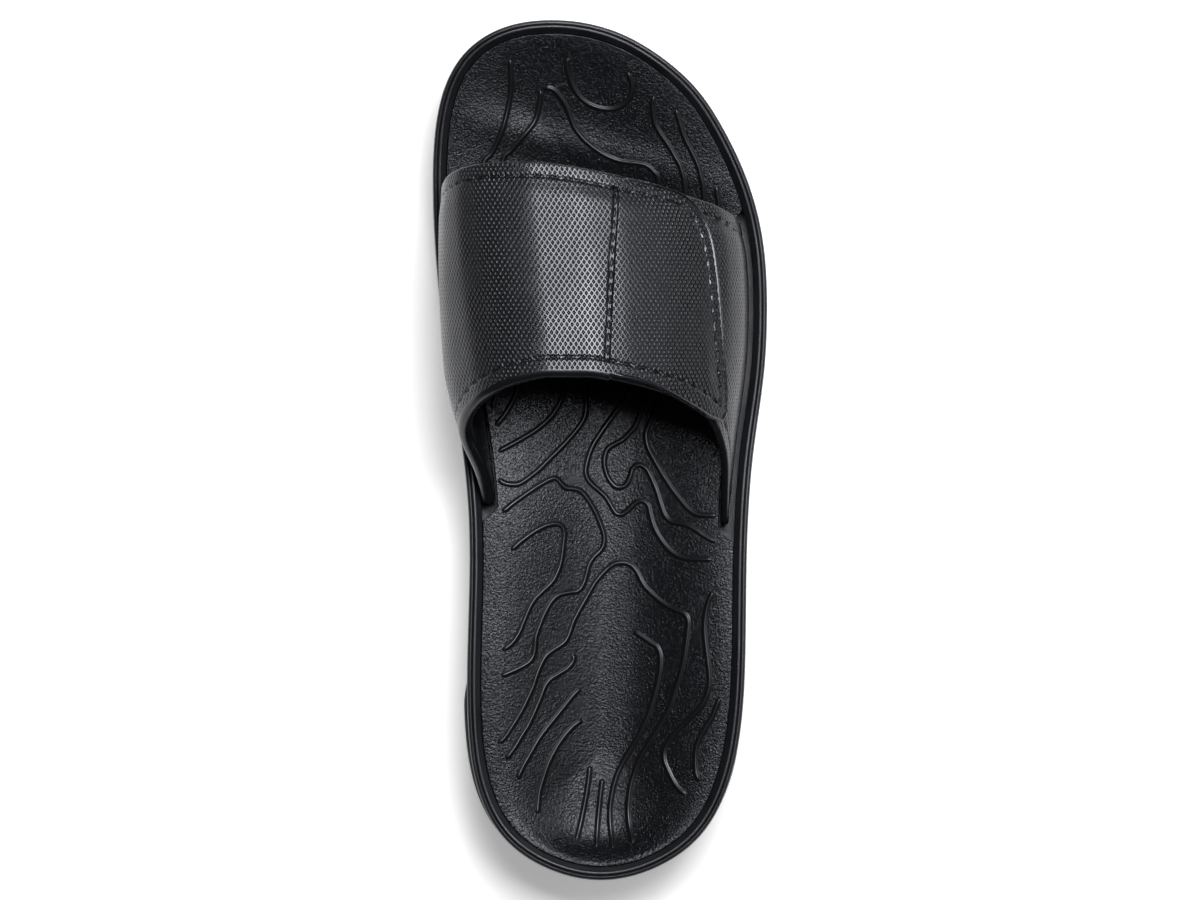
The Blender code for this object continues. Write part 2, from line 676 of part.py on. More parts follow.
def build_outsole():
    """The tread unit: a terraced tread, a side with a lip, and the raised core that keys it
    into the midsole."""
    sole = Solid("outsole", (0.012, 0.013, 0.015), 0.42)
    rim, out, bottom, side = bottom_outline()
    border = bottom - out * TREAD_BORDER
    features = tread_features({"bottom": bottom, "border": border})
    spots, triangles = plan_of_lines(bottom, features)
    tall = OUTSOLE_SIDE - EDGE_CUT

    def nearest_edge(x, y):
        """Where a place on the bottom edge lies: the edge's number and the share along it."""
        best = None
        for i, (a, b) in enumerate(zip(bottom, np.roll(bottom, -1, 0))):
            run = b - a
            t = float(np.clip(np.dot((x, y) - a, run) / np.dot(run, run), 0, 1))
            miss = float(np.linalg.norm(a + run * t - (x, y)))
            if best is None or miss < best[0]:
                best = (miss, i, t)
        return best[1], best[2]

    corners = {}
    uses = {}
    for t, (abc, middle) in enumerate(triangles):
        holder = [f for f in features if f.holds(*middle)]
        for v in abc:
            x, y = spots[v]
            depth = holder[-1].depth(x, y) if holder else 0.0
            height = float(profile("ground", y)) + depth
            corners[t, v] = round(height / LEVEL) * LEVEL
        for a, b in ((0, 1), (1, 2), (2, 0)):
            uses.setdefault(frozenset((abc[a], abc[b])), []).append((t, abc[a], abc[b]))

    levels = {}
    for (_, v), height in corners.items():
        levels.setdefault(v, set()).add(height)
    edge_of = {}
    for users in uses.values():
        if len(users) == 1:
            for v in users[0][1:]:
                edge_of[v] = nearest_edge(*spots[v])
    number = {}

    def vertex(v, height):
        key = (v, height)
        if key not in number:
            x, y = spots[v]
            if v in edge_of:
                i, t = edge_of[v]
                shift = (side - bottom)[[i, (i + 1) % len(side)]]
                climb = (height - float(profile("ground", y))) / tall
                x, y = (x, y) + (shift[0] * (1 - t) + shift[1] * t) * climb
            number[key] = len(sole.verts)
            sole.verts.append((x, y, height))
        return number[key]

    def climb(v, start, end):
        """The vertices at a place from one height to another, through every level between."""
        low, high = min(start, end), max(start, end)
        run = sorted(h for h in levels[v] if low < h < high)
        run = [low] + run + [high] if high > low else [low]
        return [vertex(v, h) for h in (run if end >= start else run[::-1])]

    for t, (abc, _) in enumerate(triangles):
        sole.faces.append(tuple(vertex(v, corners[t, v]) for v in reversed(abc)))
    for users in uses.values():
        if len(users) == 2:
            (one, a, b), (two, _, _) = users
            up = climb(b, corners[one, b], corners[two, b])
            down = climb(a, corners[two, a], corners[one, a])
            if len(up) + len(down) > 2:
                sole.faces.append(tuple(up + down))

    count = len(bottom)
    top = sole.ring(raised(side, profile("ground", side[:, 1]) + tall))
    chains = [[] for _ in range(count)]
    for users in uses.values():
        if len(users) == 1:
            t, a, b = users[0]
            x, y = (np.array(spots[a]) + spots[b]) / 2
            i, share = nearest_edge(x, y)
            chains[i].append((share, t, a, b))
    for i, chain in enumerate(chains):
        chain.sort()
        near, far = (np.linalg.norm(np.array(spots[v]) - bottom[i]) for v in chain[0][2:])
        if near > far:
            chain = [(share, t, b, a) for share, t, a, b in chain]
        face = [top[(i + 1) % count], top[i]]
        heights = [(corners[t, a], corners[t, b]) for _, t, a, b in chain]
        first, last = chain[0], chain[-1]
        face += climb_down(levels, vertex, first[2], heights[0][0])
        for k, (_, t, a, b) in enumerate(chain):
            if k:
                face += climb(a, heights[k - 1][1], heights[k][0])[1:]
            face.append(vertex(b, heights[k][1]))
        face += climb_down(levels, vertex, last[3], heights[-1][1])[::-1][1:]
        sole.faces.append(tuple(face))

    def at(distance, height):
        flat = rim - out * np.asarray(distance)[:, None]
        return sole.ring(raised(flat, profile("ground", flat[:, 1]) + height))

    wall = lean(rim, "inset") * (1 - OUTSOLE_SIDE / HEEL_HEIGHT)
    lip = lean(rim, "lip")
    rings = [
        top,
        at(wall - lip + EDGE_CUT, OUTSOLE_SIDE),
        at(wall + CORE_INSET, OUTSOLE_SIDE),
        at(wall + CORE_INSET + CORE_DRAFT, OUTSOLE_CORE),
    ]
    for low, high in zip(rings, rings[1:]):
        sole.bridge(low, high)
    sole.cover(rings[-1])
    return sole.build()


def climb_down(levels, vertex, v, height):
    """The vertices of a place on the bottom edge from its highest level down to a height."""
    return [vertex(v, h) for h in sorted(levels[v], reverse=True) if h >= height]


def build_midsole():
    """The tub: side walls with two grooves, rim with a bead, and the recess inside it."""
    sole = Solid("midsole", (0.016, 0.017, 0.019), 0.45)
    rim, out = perimeter(even_shares())
    top = profile("rim", rim[:, 1])
    low = profile("ground", rim[:, 1]) + OUTSOLE_SIDE + SEAT_GAP
    inset = lean(rim, "inset") * (1 - OUTSOLE_SIDE / HEEL_HEIGHT)

    def at(distance, height):
        flat = rim - out * np.broadcast_to(distance, len(rim)).reshape(-1, 1)
        return sole.ring(raised(flat, height))

    def wall(share, depth=0.0):
        """A ring on the leaning side wall, at a share of its height."""
        return at(inset * (1 - share) ** 1.3 + depth, low + (top - low) * share)

    def groove(share):
        """Four rings of a groove round the side wall."""
        half = SIDE_GROOVE_WIDTH / 2 / (HEEL_HEIGHT - OUTSOLE_SIDE)
        deep = SIDE_GROOVE_DEPTH
        spots = ((-1.0, 0.0), (-0.7, deep), (0.7, deep), (1.0, 0.0))
        return [wall(share + s * half, d) for s, d in spots]

    core = profile("ground", rim[:, 1]) + OUTSOLE_CORE + SEAT_GAP
    core_inset = inset + CORE_INSET - SEAT_GAP
    bead_low, bead_high = BEAD_INSET - BEAD_WIDTH / 2, BEAD_INSET + BEAD_WIDTH / 2
    rings = [
        at(core_inset + CORE_DRAFT, core),
        at(core_inset, low),
        wall(0.0, EDGE_CUT),
        wall(0.03),
        *groove(0.14),
        wall(0.34),
        wall(0.56),
        *groove(0.80),
        at(0.0, top - RIM_ROUND * 1.6),
        at(RIM_ROUND * 0.5, top - RIM_ROUND * 0.5),
        at(bead_low, top - RIM_GROOVE * 0.5),
        at(bead_low + BEAD_WIDTH * 0.25, top),
        at(bead_high - BEAD_WIDTH * 0.25, top),
        at(bead_high + BEAD_FOOT, top - RIM_GROOVE),
        at(RIM_WIDTH, top - RIM_GROOVE),
        at(RIM_WIDTH, tub_floor(rim[:, 1])),
    ]
    for under, over in zip(rings, rings[1:]):
        sole.bridge(under, over)
    sole.cover(rings[0], up=False)
    sole.cover(rings[-1])
    return sole.build()


def root_stations(outer):
    """The stations of the strap's rear and front edges at its root, on one side."""
    row = STRAP_ARCH[-1] if outer else STRAP_ARCH[0]
    return row[4], row[3]


def side_share(target, outer):
    """The share of the way from the toe's tip to the heel's tip where a side reaches a
    station, measured on the line where the footbed ends."""
    fine = 400
    rim, out = perimeter(even_shares(fine))
    edge = rim - out * (RIM_WIDTH + SEAT_GAP)
    half = edge[: fine + 1] if outer else np.vstack([edge[:1], edge[:fine - 1:-1]])
    reached = station(half[:, 1])
    order = np.argsort(reached)
    return float(np.interp(target, reached[order], np.linspace(0, 1, fine + 1)[order]))


EDGES = {}


def edge_x(y):
    """The x of the footbed's edge at a y, on the inner and the outer side."""
    if not EDGES:
        grid = np.linspace(-0.495, 0.495, 201) * LENGTH
        EDGES["grid"] = grid
        EDGES["inner"] = root_x(grid, False)
        EDGES["outer"] = root_x(grid, True)
    return [float(np.interp(y, EDGES["grid"], EDGES[side])) for side in ("inner", "outer")]


def s_curve(t):
    """Rises smoothly from 0 at 0 to 1 at 1."""
    t = min(max(t, 0.0), 1.0)
    return t * t * (3 - 2 * t)


def cup_height(x, y, edge, edge_top):
    """The footbed's surface: level at its edge, down in a soft bowl to its lowest line, with
    the arch's rise on the inner side and a soft ridge under the toes."""
    away = min(math.hypot(x - px, y - py) for px, py in edge)
    left, right = edge_x(y)
    low = left + CUP_LOW * (right - left)
    side = s_curve(0.5 + 0.5 * (x - low) / CUP_BLEND)
    reach = max((low - left) * (1 - side) + (right - low) * side, CUP_WALL)
    reach *= HEEL_WALL + (1 - HEEL_WALL) * s_curve(station(y) / HEEL_WALL_END)
    share = min(away / reach, 1.0)
    s = float(station(y))
    arch = ARCH_RISE * math.exp(-(((s - 0.46) / 0.13) ** 2)) * min(max(-x / (BALL_WIDTH / 3), 0), 1)
    ridge = TOE_RIDGE * math.exp(-(((s - 0.845 + 0.25 * x / LENGTH) / 0.022) ** 2))
    height = edge_top - float(profile("dish", y)) * s_curve(share)
    return height + (arch + ridge) * min(share * 1.6, 1.0)


def build_footbed():
    """The inlay, notched on both sides where the strap's roots go down beside it."""
    bed = Solid("footbed", (0.020, 0.021, 0.023), 0.62)
    clear = ROOT_SLACK / LENGTH
    slope = ROOT_TAPER / LENGTH
    shares = set(even_shares())
    notch = {}
    for outer in (True, False):
        rear, front = root_stations(outer)
        notch[outer] = (rear - clear - slope, rear - clear, front + clear, front + clear + slope)
    for k in range(4):
        mean = [side_share(notch[o][k], o) for o in (True, False)]
        shares |= set(mean)
    shares = sorted(shares)
    shares = [s for i, s in enumerate(shares) if i == 0 or s - shares[i - 1] > 0.004]
    rim, out = perimeter(shares)
    s = station(rim[:, 1])
    deep = np.zeros(len(rim))
    for i, share in enumerate(s):
        a, b, c, d = notch[bool(rim[i, 0] > 0)]
        deep[i] = np.interp(share, (a, b, c, d), (0, 1, 1, 0))
    plain = RIM_WIDTH + SEAT_GAP
    inset = plain + deep * (BAND_WALL + ROOT_CLEAR)
    border = rim - out * plain

    def surface(x, y):
        edge_top = float(profile("rim", y)) - FOOTBED_DROP
        return cup_height(x, y, border, edge_top)

    def at(distance, height=None):
        flat = rim - out * np.broadcast_to(distance, len(rim)).reshape(-1, 1)
        if height is None:
            height = [surface(x, y) for x, y in flat]
        return bed.ring(raised(flat, height))

    flat = rim - out * inset[:, None]
    edge_height = np.array([surface(x, y) for x, y in flat])
    rings = [
        at(inset, tub_floor(rim[:, 1]) + SEAT_GAP),
        at(inset, edge_height - FOOTBED_ROUND),
        at(inset + FOOTBED_ROUND),
    ]
    for low, high in zip(rings, rings[1:]):
        bed.bridge(low, high)
    bed.cover(rings[0], up=False)
    bed.cover(rings[-1], DISH_COLUMNS, surface)
    return bed.build()


def root_x(y, outer):
    """The x of the strap's outer face at its root."""
    rim, out = perimeter(even_shares(180))
    edge = rim - out * (RIM_WIDTH + SEAT_GAP)
    half = edge[:181] if outer else edge[180:]
    order = np.argsort(half[:, 1])
    return np.interp(y, half[order, 1], half[order, 0])


ROOTS = {}


def arch_point(place, y):
    """A point on the strap band's outer face, at a place on the arch and a y."""
    if not ROOTS:
        grid = np.linspace(-0.15, 0.40, 56) * LENGTH
        ROOTS["grid"] = grid
        ROOTS["inner"] = root_x(grid, False)
        ROOTS["outer"] = root_x(grid, True)
    left = np.interp(y, ROOTS["grid"], ROOTS["inner"])
    right = np.interp(y, ROOTS["grid"], ROOTS["outer"])
    places = column(STRAP_ARCH, 0)
    across = float(follow(places, column(STRAP_ARCH, 1), place))
    rise = float(follow(places, column(STRAP_ARCH, 2), place))
    rear, front = float(STRAP_ARCH[8][4]), float(STRAP_ARCH[8][3])
    share = (float(station(y)) - rear) / (front - rear)
    crest = STRAP_REAR_HEIGHT + (STRAP_FRONT_HEIGHT - STRAP_REAR_HEIGHT) * share
    base = float(profile("rim", y))
    bulge = STRAP_BULGE * math.exp(-(((place - 0.17) / 0.09) ** 2)) * min(max(1 - share, 0), 1)
    x = left + (right - left) * across - bulge
    return Vector((x, y, base + (crest - base) * rise))


def arch_normal(place, y):
    """The band's outward normal at a place and y."""
    if place <= 0.0 or place >= 1.0:
        return Vector((-1.0 if place <= 0.0 else 1.0, 0.0, 0.0))
    step = 0.01
    low, high = max(place - step, 0.0), min(place + step, 1.0)
    along = arch_point(high, y) - arch_point(low, y)
    ahead = arch_point(place, y + REACH / 3) - arch_point(place, y - REACH / 3)
    return along.cross(ahead).normalized()


def edge_y(place, rear):
    """The y of the strap's front or rear edge at a place on the arch."""
    index = 4 if rear else 3
    return (float(follow(column(STRAP_ARCH, 0), column(STRAP_ARCH, index), place)) - 0.5) * LENGTH


def seam_place(share):
    """The seam's place on the arch, at a share of the way from the front edge to the rear."""
    return SEAM_FRONT + (SEAM_REAR - SEAM_FRONT) * share


def strap_loop(place_at, top, bottom):
    """The strap's section, as a closed loop: its outer face at depth top under the band's face,
    from the front edge to the rear, its round rear edge, its inner face at depth bottom, and its
    round front edge. place_at gives its place on the arch at a share of the way between."""
    half = (bottom - top) / 2
    front = edge_y(place_at(0.0), False) - half
    rear = edge_y(place_at(1.0), True) + half
    faces = []
    for j in range(STRAP_ROWS + 1):
        share = j / STRAP_ROWS
        y = front + (rear - front) * share
        faces.append((arch_point(place_at(share), y), arch_normal(place_at(share), y)))
    loop = [p - n * top for p, n in faces]
    middle = (top + bottom) / 2
    for index, other in ((-1, -2), (0, 1)):
        p, n = faces[index]
        away = (p - faces[other][0]).normalized()
        arc = []
        for a in (45, 90, 135):
            t = math.radians(a)
            arc.append(p - n * middle + n * half * math.cos(t) + away * half * math.sin(t))
        if index == -1:
            loop += arc + [q - m * bottom for q, m in reversed(faces)]
        else:
            loop += arc[::-1]
    return loop


def close_loop(solid, ring, start):
    """Covers the end of a strap loop: strips across its wall, and its two round edges."""
    n = STRAP_ROWS + 1
    outer = ring[:n]
    rear = ring[n : n + 3]
    inner = ring[n + 3 : 2 * n + 3][::-1]
    front = ring[2 * n + 3 :]
    made = [(outer[j], outer[j + 1], inner[j + 1], inner[j]) for j in range(n - 1)]
    made.append((outer[-1], rear[0], rear[1], rear[2], inner[-1]))
    made.append((inner[0], front[0], front[1], front[2], outer[0]))
    solid.faces += [f[::-1] for f in made] if start else made


def build_strap():
    """The upper: one wall from root to root, thinner from the seam on, where the flap lies."""
    strap = Solid("strap", (0.030, 0.031, 0.034), 0.55)
    thin = BAND_WALL - UNDER_WALL

    def flat(place):
        return lambda share: place

    def beside_seam(shift):
        return lambda share: seam_place(share) + shift

    places = [float(p) for p in column(STRAP_ARCH, 0)]
    low, high = min(SEAM_FRONT, SEAM_REAR) - 0.025, max(SEAM_FRONT, SEAM_REAR) + 0.025
    spots = [(flat(p), 0.0) for p in places if p < low]
    spots += [(beside_seam(-SEAM_STEP), 0.0), (beside_seam(SEAM_STEP), thin)]
    spots += [(flat(p), thin) for p in places if p > high]
    rings = [strap_loop(at, top, BAND_WALL) for at, top in spots]
    ends = []
    for loop in (rings[0], rings[-1]):
        ends.append([Vector((p.x, p.y, float(tub_floor(p.y)) + SEAT_GAP)) for p in loop])
    rings = [strap.ring(loop) for loop in [ends[0]] + rings + [ends[1]]]
    for one, two in zip(rings, rings[1:]):
        strap.bridge(one, two)
    close_loop(strap, rings[0], True)
    close_loop(strap, rings[-1], False)
    return strap.build()


def build_flap():
    """The closing flap, from the seam to its rounded end, on the thin part of the strap."""
    flap = Solid("strap_flap", (0.030, 0.031, 0.034), 0.55)
    under = BAND_WALL - UNDER_WALL - SEAT_GAP
    top = under - FLAP_WALL
    rings = []
    for share in FLAP_SHARES:
        start = seam_place(share) + 3 * SEAM_STEP
        end = float(follow(column(FLAP_END, 0), column(FLAP_END, 1), share))
        outer, inner = [], []
        for k in range(FLAP_COLUMNS + 1):
            place = start + (end - start) * k / FLAP_COLUMNS
            front = edge_y(place, False) - FLAP_MARGIN
            rear = edge_y(place, True) + FLAP_MARGIN
            y = front + (rear - front) * share
            point, normal = arch_point(place, y), arch_normal(place, y)
            edge = k in (0, FLAP_COLUMNS) or share in (0.0, 1.0)
            outer.append(point - normal * (top + (FLAP_ROUND if edge else 0.0)))
            inner.append(point - normal * under)
        rings.append(flap.ring(outer + inner[::-1]))
    for one, two in zip(rings, rings[1:]):
        flap.bridge(one, two)
    n = FLAP_COLUMNS + 1
    for ring, first in ((rings[0], True), (rings[-1], False)):
        outer, inner = ring[:n], ring[n:][::-1]
        made = [(outer[k], outer[k + 1], inner[k + 1], inner[k]) for k in range(n - 1)]
        flap.faces += made if first else [f[::-1] for f in made]
    return flap.build()


def build():
    for old in list(bpy.data.objects):
        bpy.data.objects.remove(old)
    build_outsole()
    build_midsole()
    build_footbed()
    build_strap()
    build_flap()


build()
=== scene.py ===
"""The looks of a right-foot sport slide sandal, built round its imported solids.

Lengths are in metres in the part's own frame: +Y points to the toe, +X to the outer side and
+Z up. The first section repeats the solids' sizes and tables, so that each piece stays where its
solid is.
"""

import math

import bmesh
import bpy
import numpy as np
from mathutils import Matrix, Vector
from mathutils.kdtree import KDTree


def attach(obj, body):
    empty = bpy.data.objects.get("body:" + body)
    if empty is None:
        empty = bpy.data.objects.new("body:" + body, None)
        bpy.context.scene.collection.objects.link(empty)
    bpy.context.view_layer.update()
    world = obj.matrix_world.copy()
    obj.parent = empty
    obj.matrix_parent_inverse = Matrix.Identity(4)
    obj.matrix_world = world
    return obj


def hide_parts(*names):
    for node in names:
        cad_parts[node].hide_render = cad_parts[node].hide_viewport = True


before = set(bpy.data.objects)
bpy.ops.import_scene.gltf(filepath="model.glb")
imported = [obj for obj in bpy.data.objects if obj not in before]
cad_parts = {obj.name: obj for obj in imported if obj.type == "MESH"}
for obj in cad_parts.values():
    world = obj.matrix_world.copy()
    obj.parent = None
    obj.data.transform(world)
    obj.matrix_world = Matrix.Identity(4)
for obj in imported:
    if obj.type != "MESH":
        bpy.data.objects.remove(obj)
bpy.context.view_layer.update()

MM = 0.001

# Sizes of the solids. The footbed's rounding and gap and the flap's margins are finer here.
LENGTH = 292 * MM
BALL_WIDTH = 114 * MM
HEEL_HEIGHT = 36 * MM
TOE_SPRING = 11 * MM
CUP_DEPTH = 9 * MM
SEAT_GAP = 0.3 * MM
EDGE_CUT = 0.8 * MM
OUTSOLE_SIDE = 7 * MM
OUTSOLE_CORE = 10 * MM
CORE_INSET = 6 * MM
TREAD_STEP = 1.0 * MM
TREAD_BORDER = 3.3 * MM
TREAD_TILT = 0.144
LIP = 1.6 * MM
FLARE = 8 * MM
RIM_WIDTH = 4.6 * MM
SIDE_GROOVE_WIDTH = 1.3 * MM
SIDE_GROOVE_DEPTH = 0.8 * MM
FOOTBED_THICKNESS = 4 * MM
FOOTBED_DROP = 1.0 * MM
FOOTBED_ROUND = 0.35 * MM
FOOTBED_GAP = 0.05 * MM
CUP_WALL = 26 * MM
CUP_LOW = 0.53
CUP_BLEND = 8 * MM
HEEL_WALL = 0.40
HEEL_WALL_END = 0.15
ARCH_RISE = 1.5 * MM
TOE_RIDGE = 1.2 * MM
BAND_WALL = 4.6 * MM
UNDER_WALL = 2.8 * MM
FLAP_FRONT_MARGIN = 0.1 * MM
FLAP_REAR_MARGIN = 1.7 * MM
FLAP_OVERHANG = 2.2 * MM
STRAP_FRONT_HEIGHT = 68 * MM
STRAP_REAR_HEIGHT = 83 * MM
STRAP_BULGE = 5.0 * MM
BULGE_FALL = 0.8
ROOT_CLEAR = 0.9 * MM
ROOT_SLACK = 1.5 * MM
ROOT_TAPER = 4 * MM
GROOVE_WIDTH = 3.6 * MM
GROOVE_DEPTH = 4.5 * MM
BAND_HALF = 8.0 * MM
BAND_DEPTH = 0.85 * MM
TROUGH_WIDTH = 15 * MM
TROUGH_DEPTH = 1.9 * MM
WELL_DEPTH = 7.0 * MM
WELL_RING = 3.2 * MM
RING_DEPTH = 1.2 * MM
PAD_DEPTH = 0.9 * MM
RIB_GROOVE = 1.7 * MM
RIB_DEPTH = 1.6 * MM
RIB_STOP = 1.2 * MM
NOTCH_REACH = 12 * MM
NOTCH_WIDTH = 9.0 * MM
NOTCH_SLOT = 4.0 * MM
NOTCH_DEPTH = 5.0 * MM
REACH = 1.5 * MM

# Tables of the solids
RIM_OUTLINE = (
    # station, inner, outer
    (0.016, 0.34, 0.35),
    (0.052, 0.585, 0.60),
    (0.105, 0.725, 0.755),
    (0.190, 0.788, 0.848),
    (0.300, 0.785, 0.872),
    (0.420, 0.783, 0.886),
    (0.500, 0.822, 0.920),
    (0.590, 0.900, 0.982),
    (0.670, 0.955, 1.000),
    (0.740, 0.986, 0.978),
    (0.810, 0.998, 0.890),
    (0.870, 0.984, 0.750),
    (0.920, 0.930, 0.580),
    (0.957, 0.828, 0.370),
    (0.984, 0.660, 0.130),
)
HEEL_TIP = 0.02
TOE_TIP = -0.29
PROFILE = (
    # station, ground, rim, dish
    (0.00, 0.34, 1.03, 0.90),
    (0.03, 0.16, 1.02, 0.95),
    (0.08, 0.00, 1.00, 1.00),
    (0.24, 0.00, 0.98, 1.00),
    (0.32, 0.04, 0.95, 0.96),
    (0.42, 0.09, 0.90, 0.88),
    (0.55, 0.00, 0.80, 0.68),
    (0.74, 0.00, 0.76, 0.64),
    (0.82, 0.12, 0.80, 0.56),
    (0.91, 0.45, 0.88, 0.44),
    (1.00, 1.00, 1.00, 0.42),
)
LEAN = (
    # station, inner, outer, lip
    (0.00, 0.10, 0.10, 0.60),
    (0.10, 0.02, 0.10, 0.90),
    (0.20, 0.02, 0.25, 1.00),
    (0.26, 0.30, 0.55, 0.35),
    (0.40, 0.70, 1.00, 0.15),
    (0.52, 0.62, 0.85, 0.15),
    (0.66, 0.25, 0.25, 0.15),
    (0.80, 0.12, 0.15, 0.20),
    (0.92, 0.25, 0.25, 0.30),
    (1.00, 0.35, 0.35, 0.35),
)
STRAP_ARCH = (
    # place, across, rise, front edge, rear edge
    (0.00, 0.000, 0.000, 0.783, 0.436),
    (0.07, -0.006, 0.140, 0.793, 0.468),
    (0.14, -0.012, 0.320, 0.804, 0.500),
    (0.22, 0.000, 0.560, 0.815, 0.530),
    (0.29, 0.035, 0.750, 0.823, 0.552),
    (0.36, 0.105, 0.890, 0.829, 0.567),
    (0.43, 0.200, 0.965, 0.832, 0.578),
    (0.50, 0.310, 0.998, 0.832, 0.584),
    (0.57, 0.430, 1.000, 0.828, 0.584),
    (0.64, 0.555, 0.962, 0.820, 0.577),
    (0.71, 0.675, 0.880, 0.811, 0.567),
    (0.78, 0.785, 0.750, 0.801, 0.554),
    (0.85, 0.880, 0.597, 0.791, 0.535),
    (0.91, 0.946, 0.452, 0.782, 0.508),
    (0.96, 0.986, 0.262, 0.773, 0.470),
    (1.00, 1.000, 0.000, 0.765, 0.410),
)
SEAM_LINE = (
    # share from the front edge, place
    (0.00, 0.660),
    (0.10, 0.653),
    (0.20, 0.645),
    (0.30, 0.637),
    (0.42, 0.630),
    (0.70, 0.618),
    (1.00, 0.609),
)
SEAM_STEP = 0.004
FLAP_END = (
    # share from the front edge, place
    (0.000, 0.778),
    (0.012, 0.802),
    (0.049, 0.825),
    (0.118, 0.841),
    (0.200, 0.849),
    (0.320, 0.8535),
    (0.440, 0.858),
    (0.580, 0.8655),
    (0.720, 0.878),
    (0.830, 0.892),
    (0.890, 0.895),
    (0.940, 0.888),
    (0.975, 0.869),
    (1.000, 0.836),
)
GROOVES = (0.281, 0.064, -0.135)
TROUGHS = (0.383, 0.167, -0.040, -0.247)
HEEL_RIBS = 9
HEEL_RIB_FIRST = -0.292
HEEL_RIB_PITCH = 0.0230
HEEL_RIBS_BY_WELL = 5
TOE_RIBS = 4
TOE_RIB_FIRST = 0.421
TOE_RIB_PITCH = 0.0195
WELLS = (
    # toe end across, along, heel end across, along, radius
    (-0.075, 0.398, -0.037, 0.262, 0.079),
    (0.005, 0.090, 0.013, 0.040, 0.070),
    (0.019, -0.108, 0.008, -0.357, 0.075),
)
PADS = (
    # toe edge, heel edge, toe left, toe right, heel left, heel right
    (0.350, 0.318, 0.247, 0.371, 0.250, 0.401),
    (0.350, 0.318, 0.090, 0.218, 0.093, 0.220),
    (0.352, 0.324, -0.297, -0.188, -0.295, -0.186),
    (0.352, 0.324, -0.436, -0.322, -0.433, -0.320),
    (0.236, 0.190, 0.275, 0.455, 0.279, 0.439),
    (0.236, 0.190, 0.084, 0.255, 0.088, 0.259),
    (0.243, 0.198, -0.295, -0.165, -0.292, -0.161),
    (0.243, 0.198, -0.451, -0.317, -0.448, -0.314),
    (0.140, 0.104, 0.284, 0.415, 0.286, 0.393),
    (0.140, 0.104, 0.136, 0.262, 0.139, 0.259),
    (0.145, 0.107, -0.260, -0.128, -0.257, -0.125),
    (0.145, 0.107, -0.414, -0.284, -0.411, -0.281),
    (0.024, -0.014, 0.135, 0.327, 0.138, 0.308),
    (0.026, -0.017, -0.308, -0.136, -0.281, -0.163),
    (-0.066, -0.099, 0.152, 0.338, 0.155, 0.340),
    (-0.066, -0.099, -0.311, -0.125, -0.309, -0.123),
    (-0.177, -0.212, 0.150, 0.393, 0.152, 0.396),
    (-0.177, -0.208, -0.336, -0.116, -0.333, -0.113),
)

# How fine the meshes are: points down each side of the midsole and the footbed, and the rows
# and columns of the footbed, the tread, the strap and the flap
MIDSOLE_STEPS = 321
FOOTBED_STEPS = 300
FOOTBED_COLUMNS = 122
TREAD_ROWS = 215
TREAD_COLUMNS = 226
STRAP_ROWS = 330
FLAP_COLUMNS = 80

# Where a pixel of the photograph lies on the sandal seen from above
PIXEL = 0.3391 * MM
MIDDLE_PIXEL = (785.0, 448.5)
PHOTO_WIDTH = 1200
CAMERA_DISTANCE = 3.0


# Curves and surfaces of the solids


def column(table, index):
    return np.array([row[index] for row in table], float)


def hermite(t, a, b, leave, arrive):
    """A cubic from a to b; leave and arrive are its slopes there times its run."""
    start = (1 + 2 * t) * (1 - t) ** 2 * a + t * (1 - t) ** 2 * leave
    return start + t * t * (3 - 2 * t) * b - t * t * (1 - t) * arrive


def follow(xs, ys, x):
    """A smooth curve through a table's rows with no overshoot: level where the table is level."""
    xs, ys = np.asarray(xs, float), np.asarray(ys, float)
    x = np.clip(np.asarray(x, float), xs[0], xs[-1])
    run = np.diff(xs)
    rate = np.diff(ys) / run
    slope = np.zeros(len(xs))
    slope[0], slope[-1] = rate[0], rate[-1]
    same = rate[:-1] * rate[1:] > 0
    total = np.where(same, rate[:-1] + rate[1:], 1.0)
    slope[1:-1] = np.where(same, 2 * rate[:-1] * rate[1:] / total, 0.0)
    k = np.clip(np.searchsorted(xs, x, side="right") - 1, 0, len(run) - 1)
    t = (x - xs[k]) / run[k]
    return hermite(t, ys[k], ys[k + 1], run[k] * slope[k], run[k] * slope[k + 1])


def table_curve(table, index, x):
    return follow(column(table, 0), column(table, index), x)


def soft_step(low, high, x):
    """Rises smoothly from 0 at low to 1 at high."""
    t = np.clip((x - low) / (high - low), 0, 1)
    return t * t * (3 - 2 * t)


def closed_spline(points, samples):
    """A smooth closed curve through the points, evenly sampled between each pair of them."""
    points = np.asarray(points, float)
    n = len(points)
    ahead = np.roll(points, -1, 0) - points
    chord = np.linalg.norm(ahead, axis=1)[:, None]
    before = np.roll(chord, 1)
    rate = ahead / chord
    system = np.diag(2 * (chord + before)[:, 0])
    for i in range(n):
        system[i, i - 1] = chord[i, 0]
        system[i, (i + 1) % n] = before[i, 0]
    tangent = np.linalg.solve(system, 3 * (before * rate + chord * np.roll(rate, 1, 0)))
    t = np.arange(samples)[:, None] / samples
    pairs = [(i, (i + 1) % n) for i in range(n)]
    return np.vstack([hermite(t, points[i], points[j], chord[i] * tangent[i],
                              chord[i] * tangent[j]) for i, j in pairs])


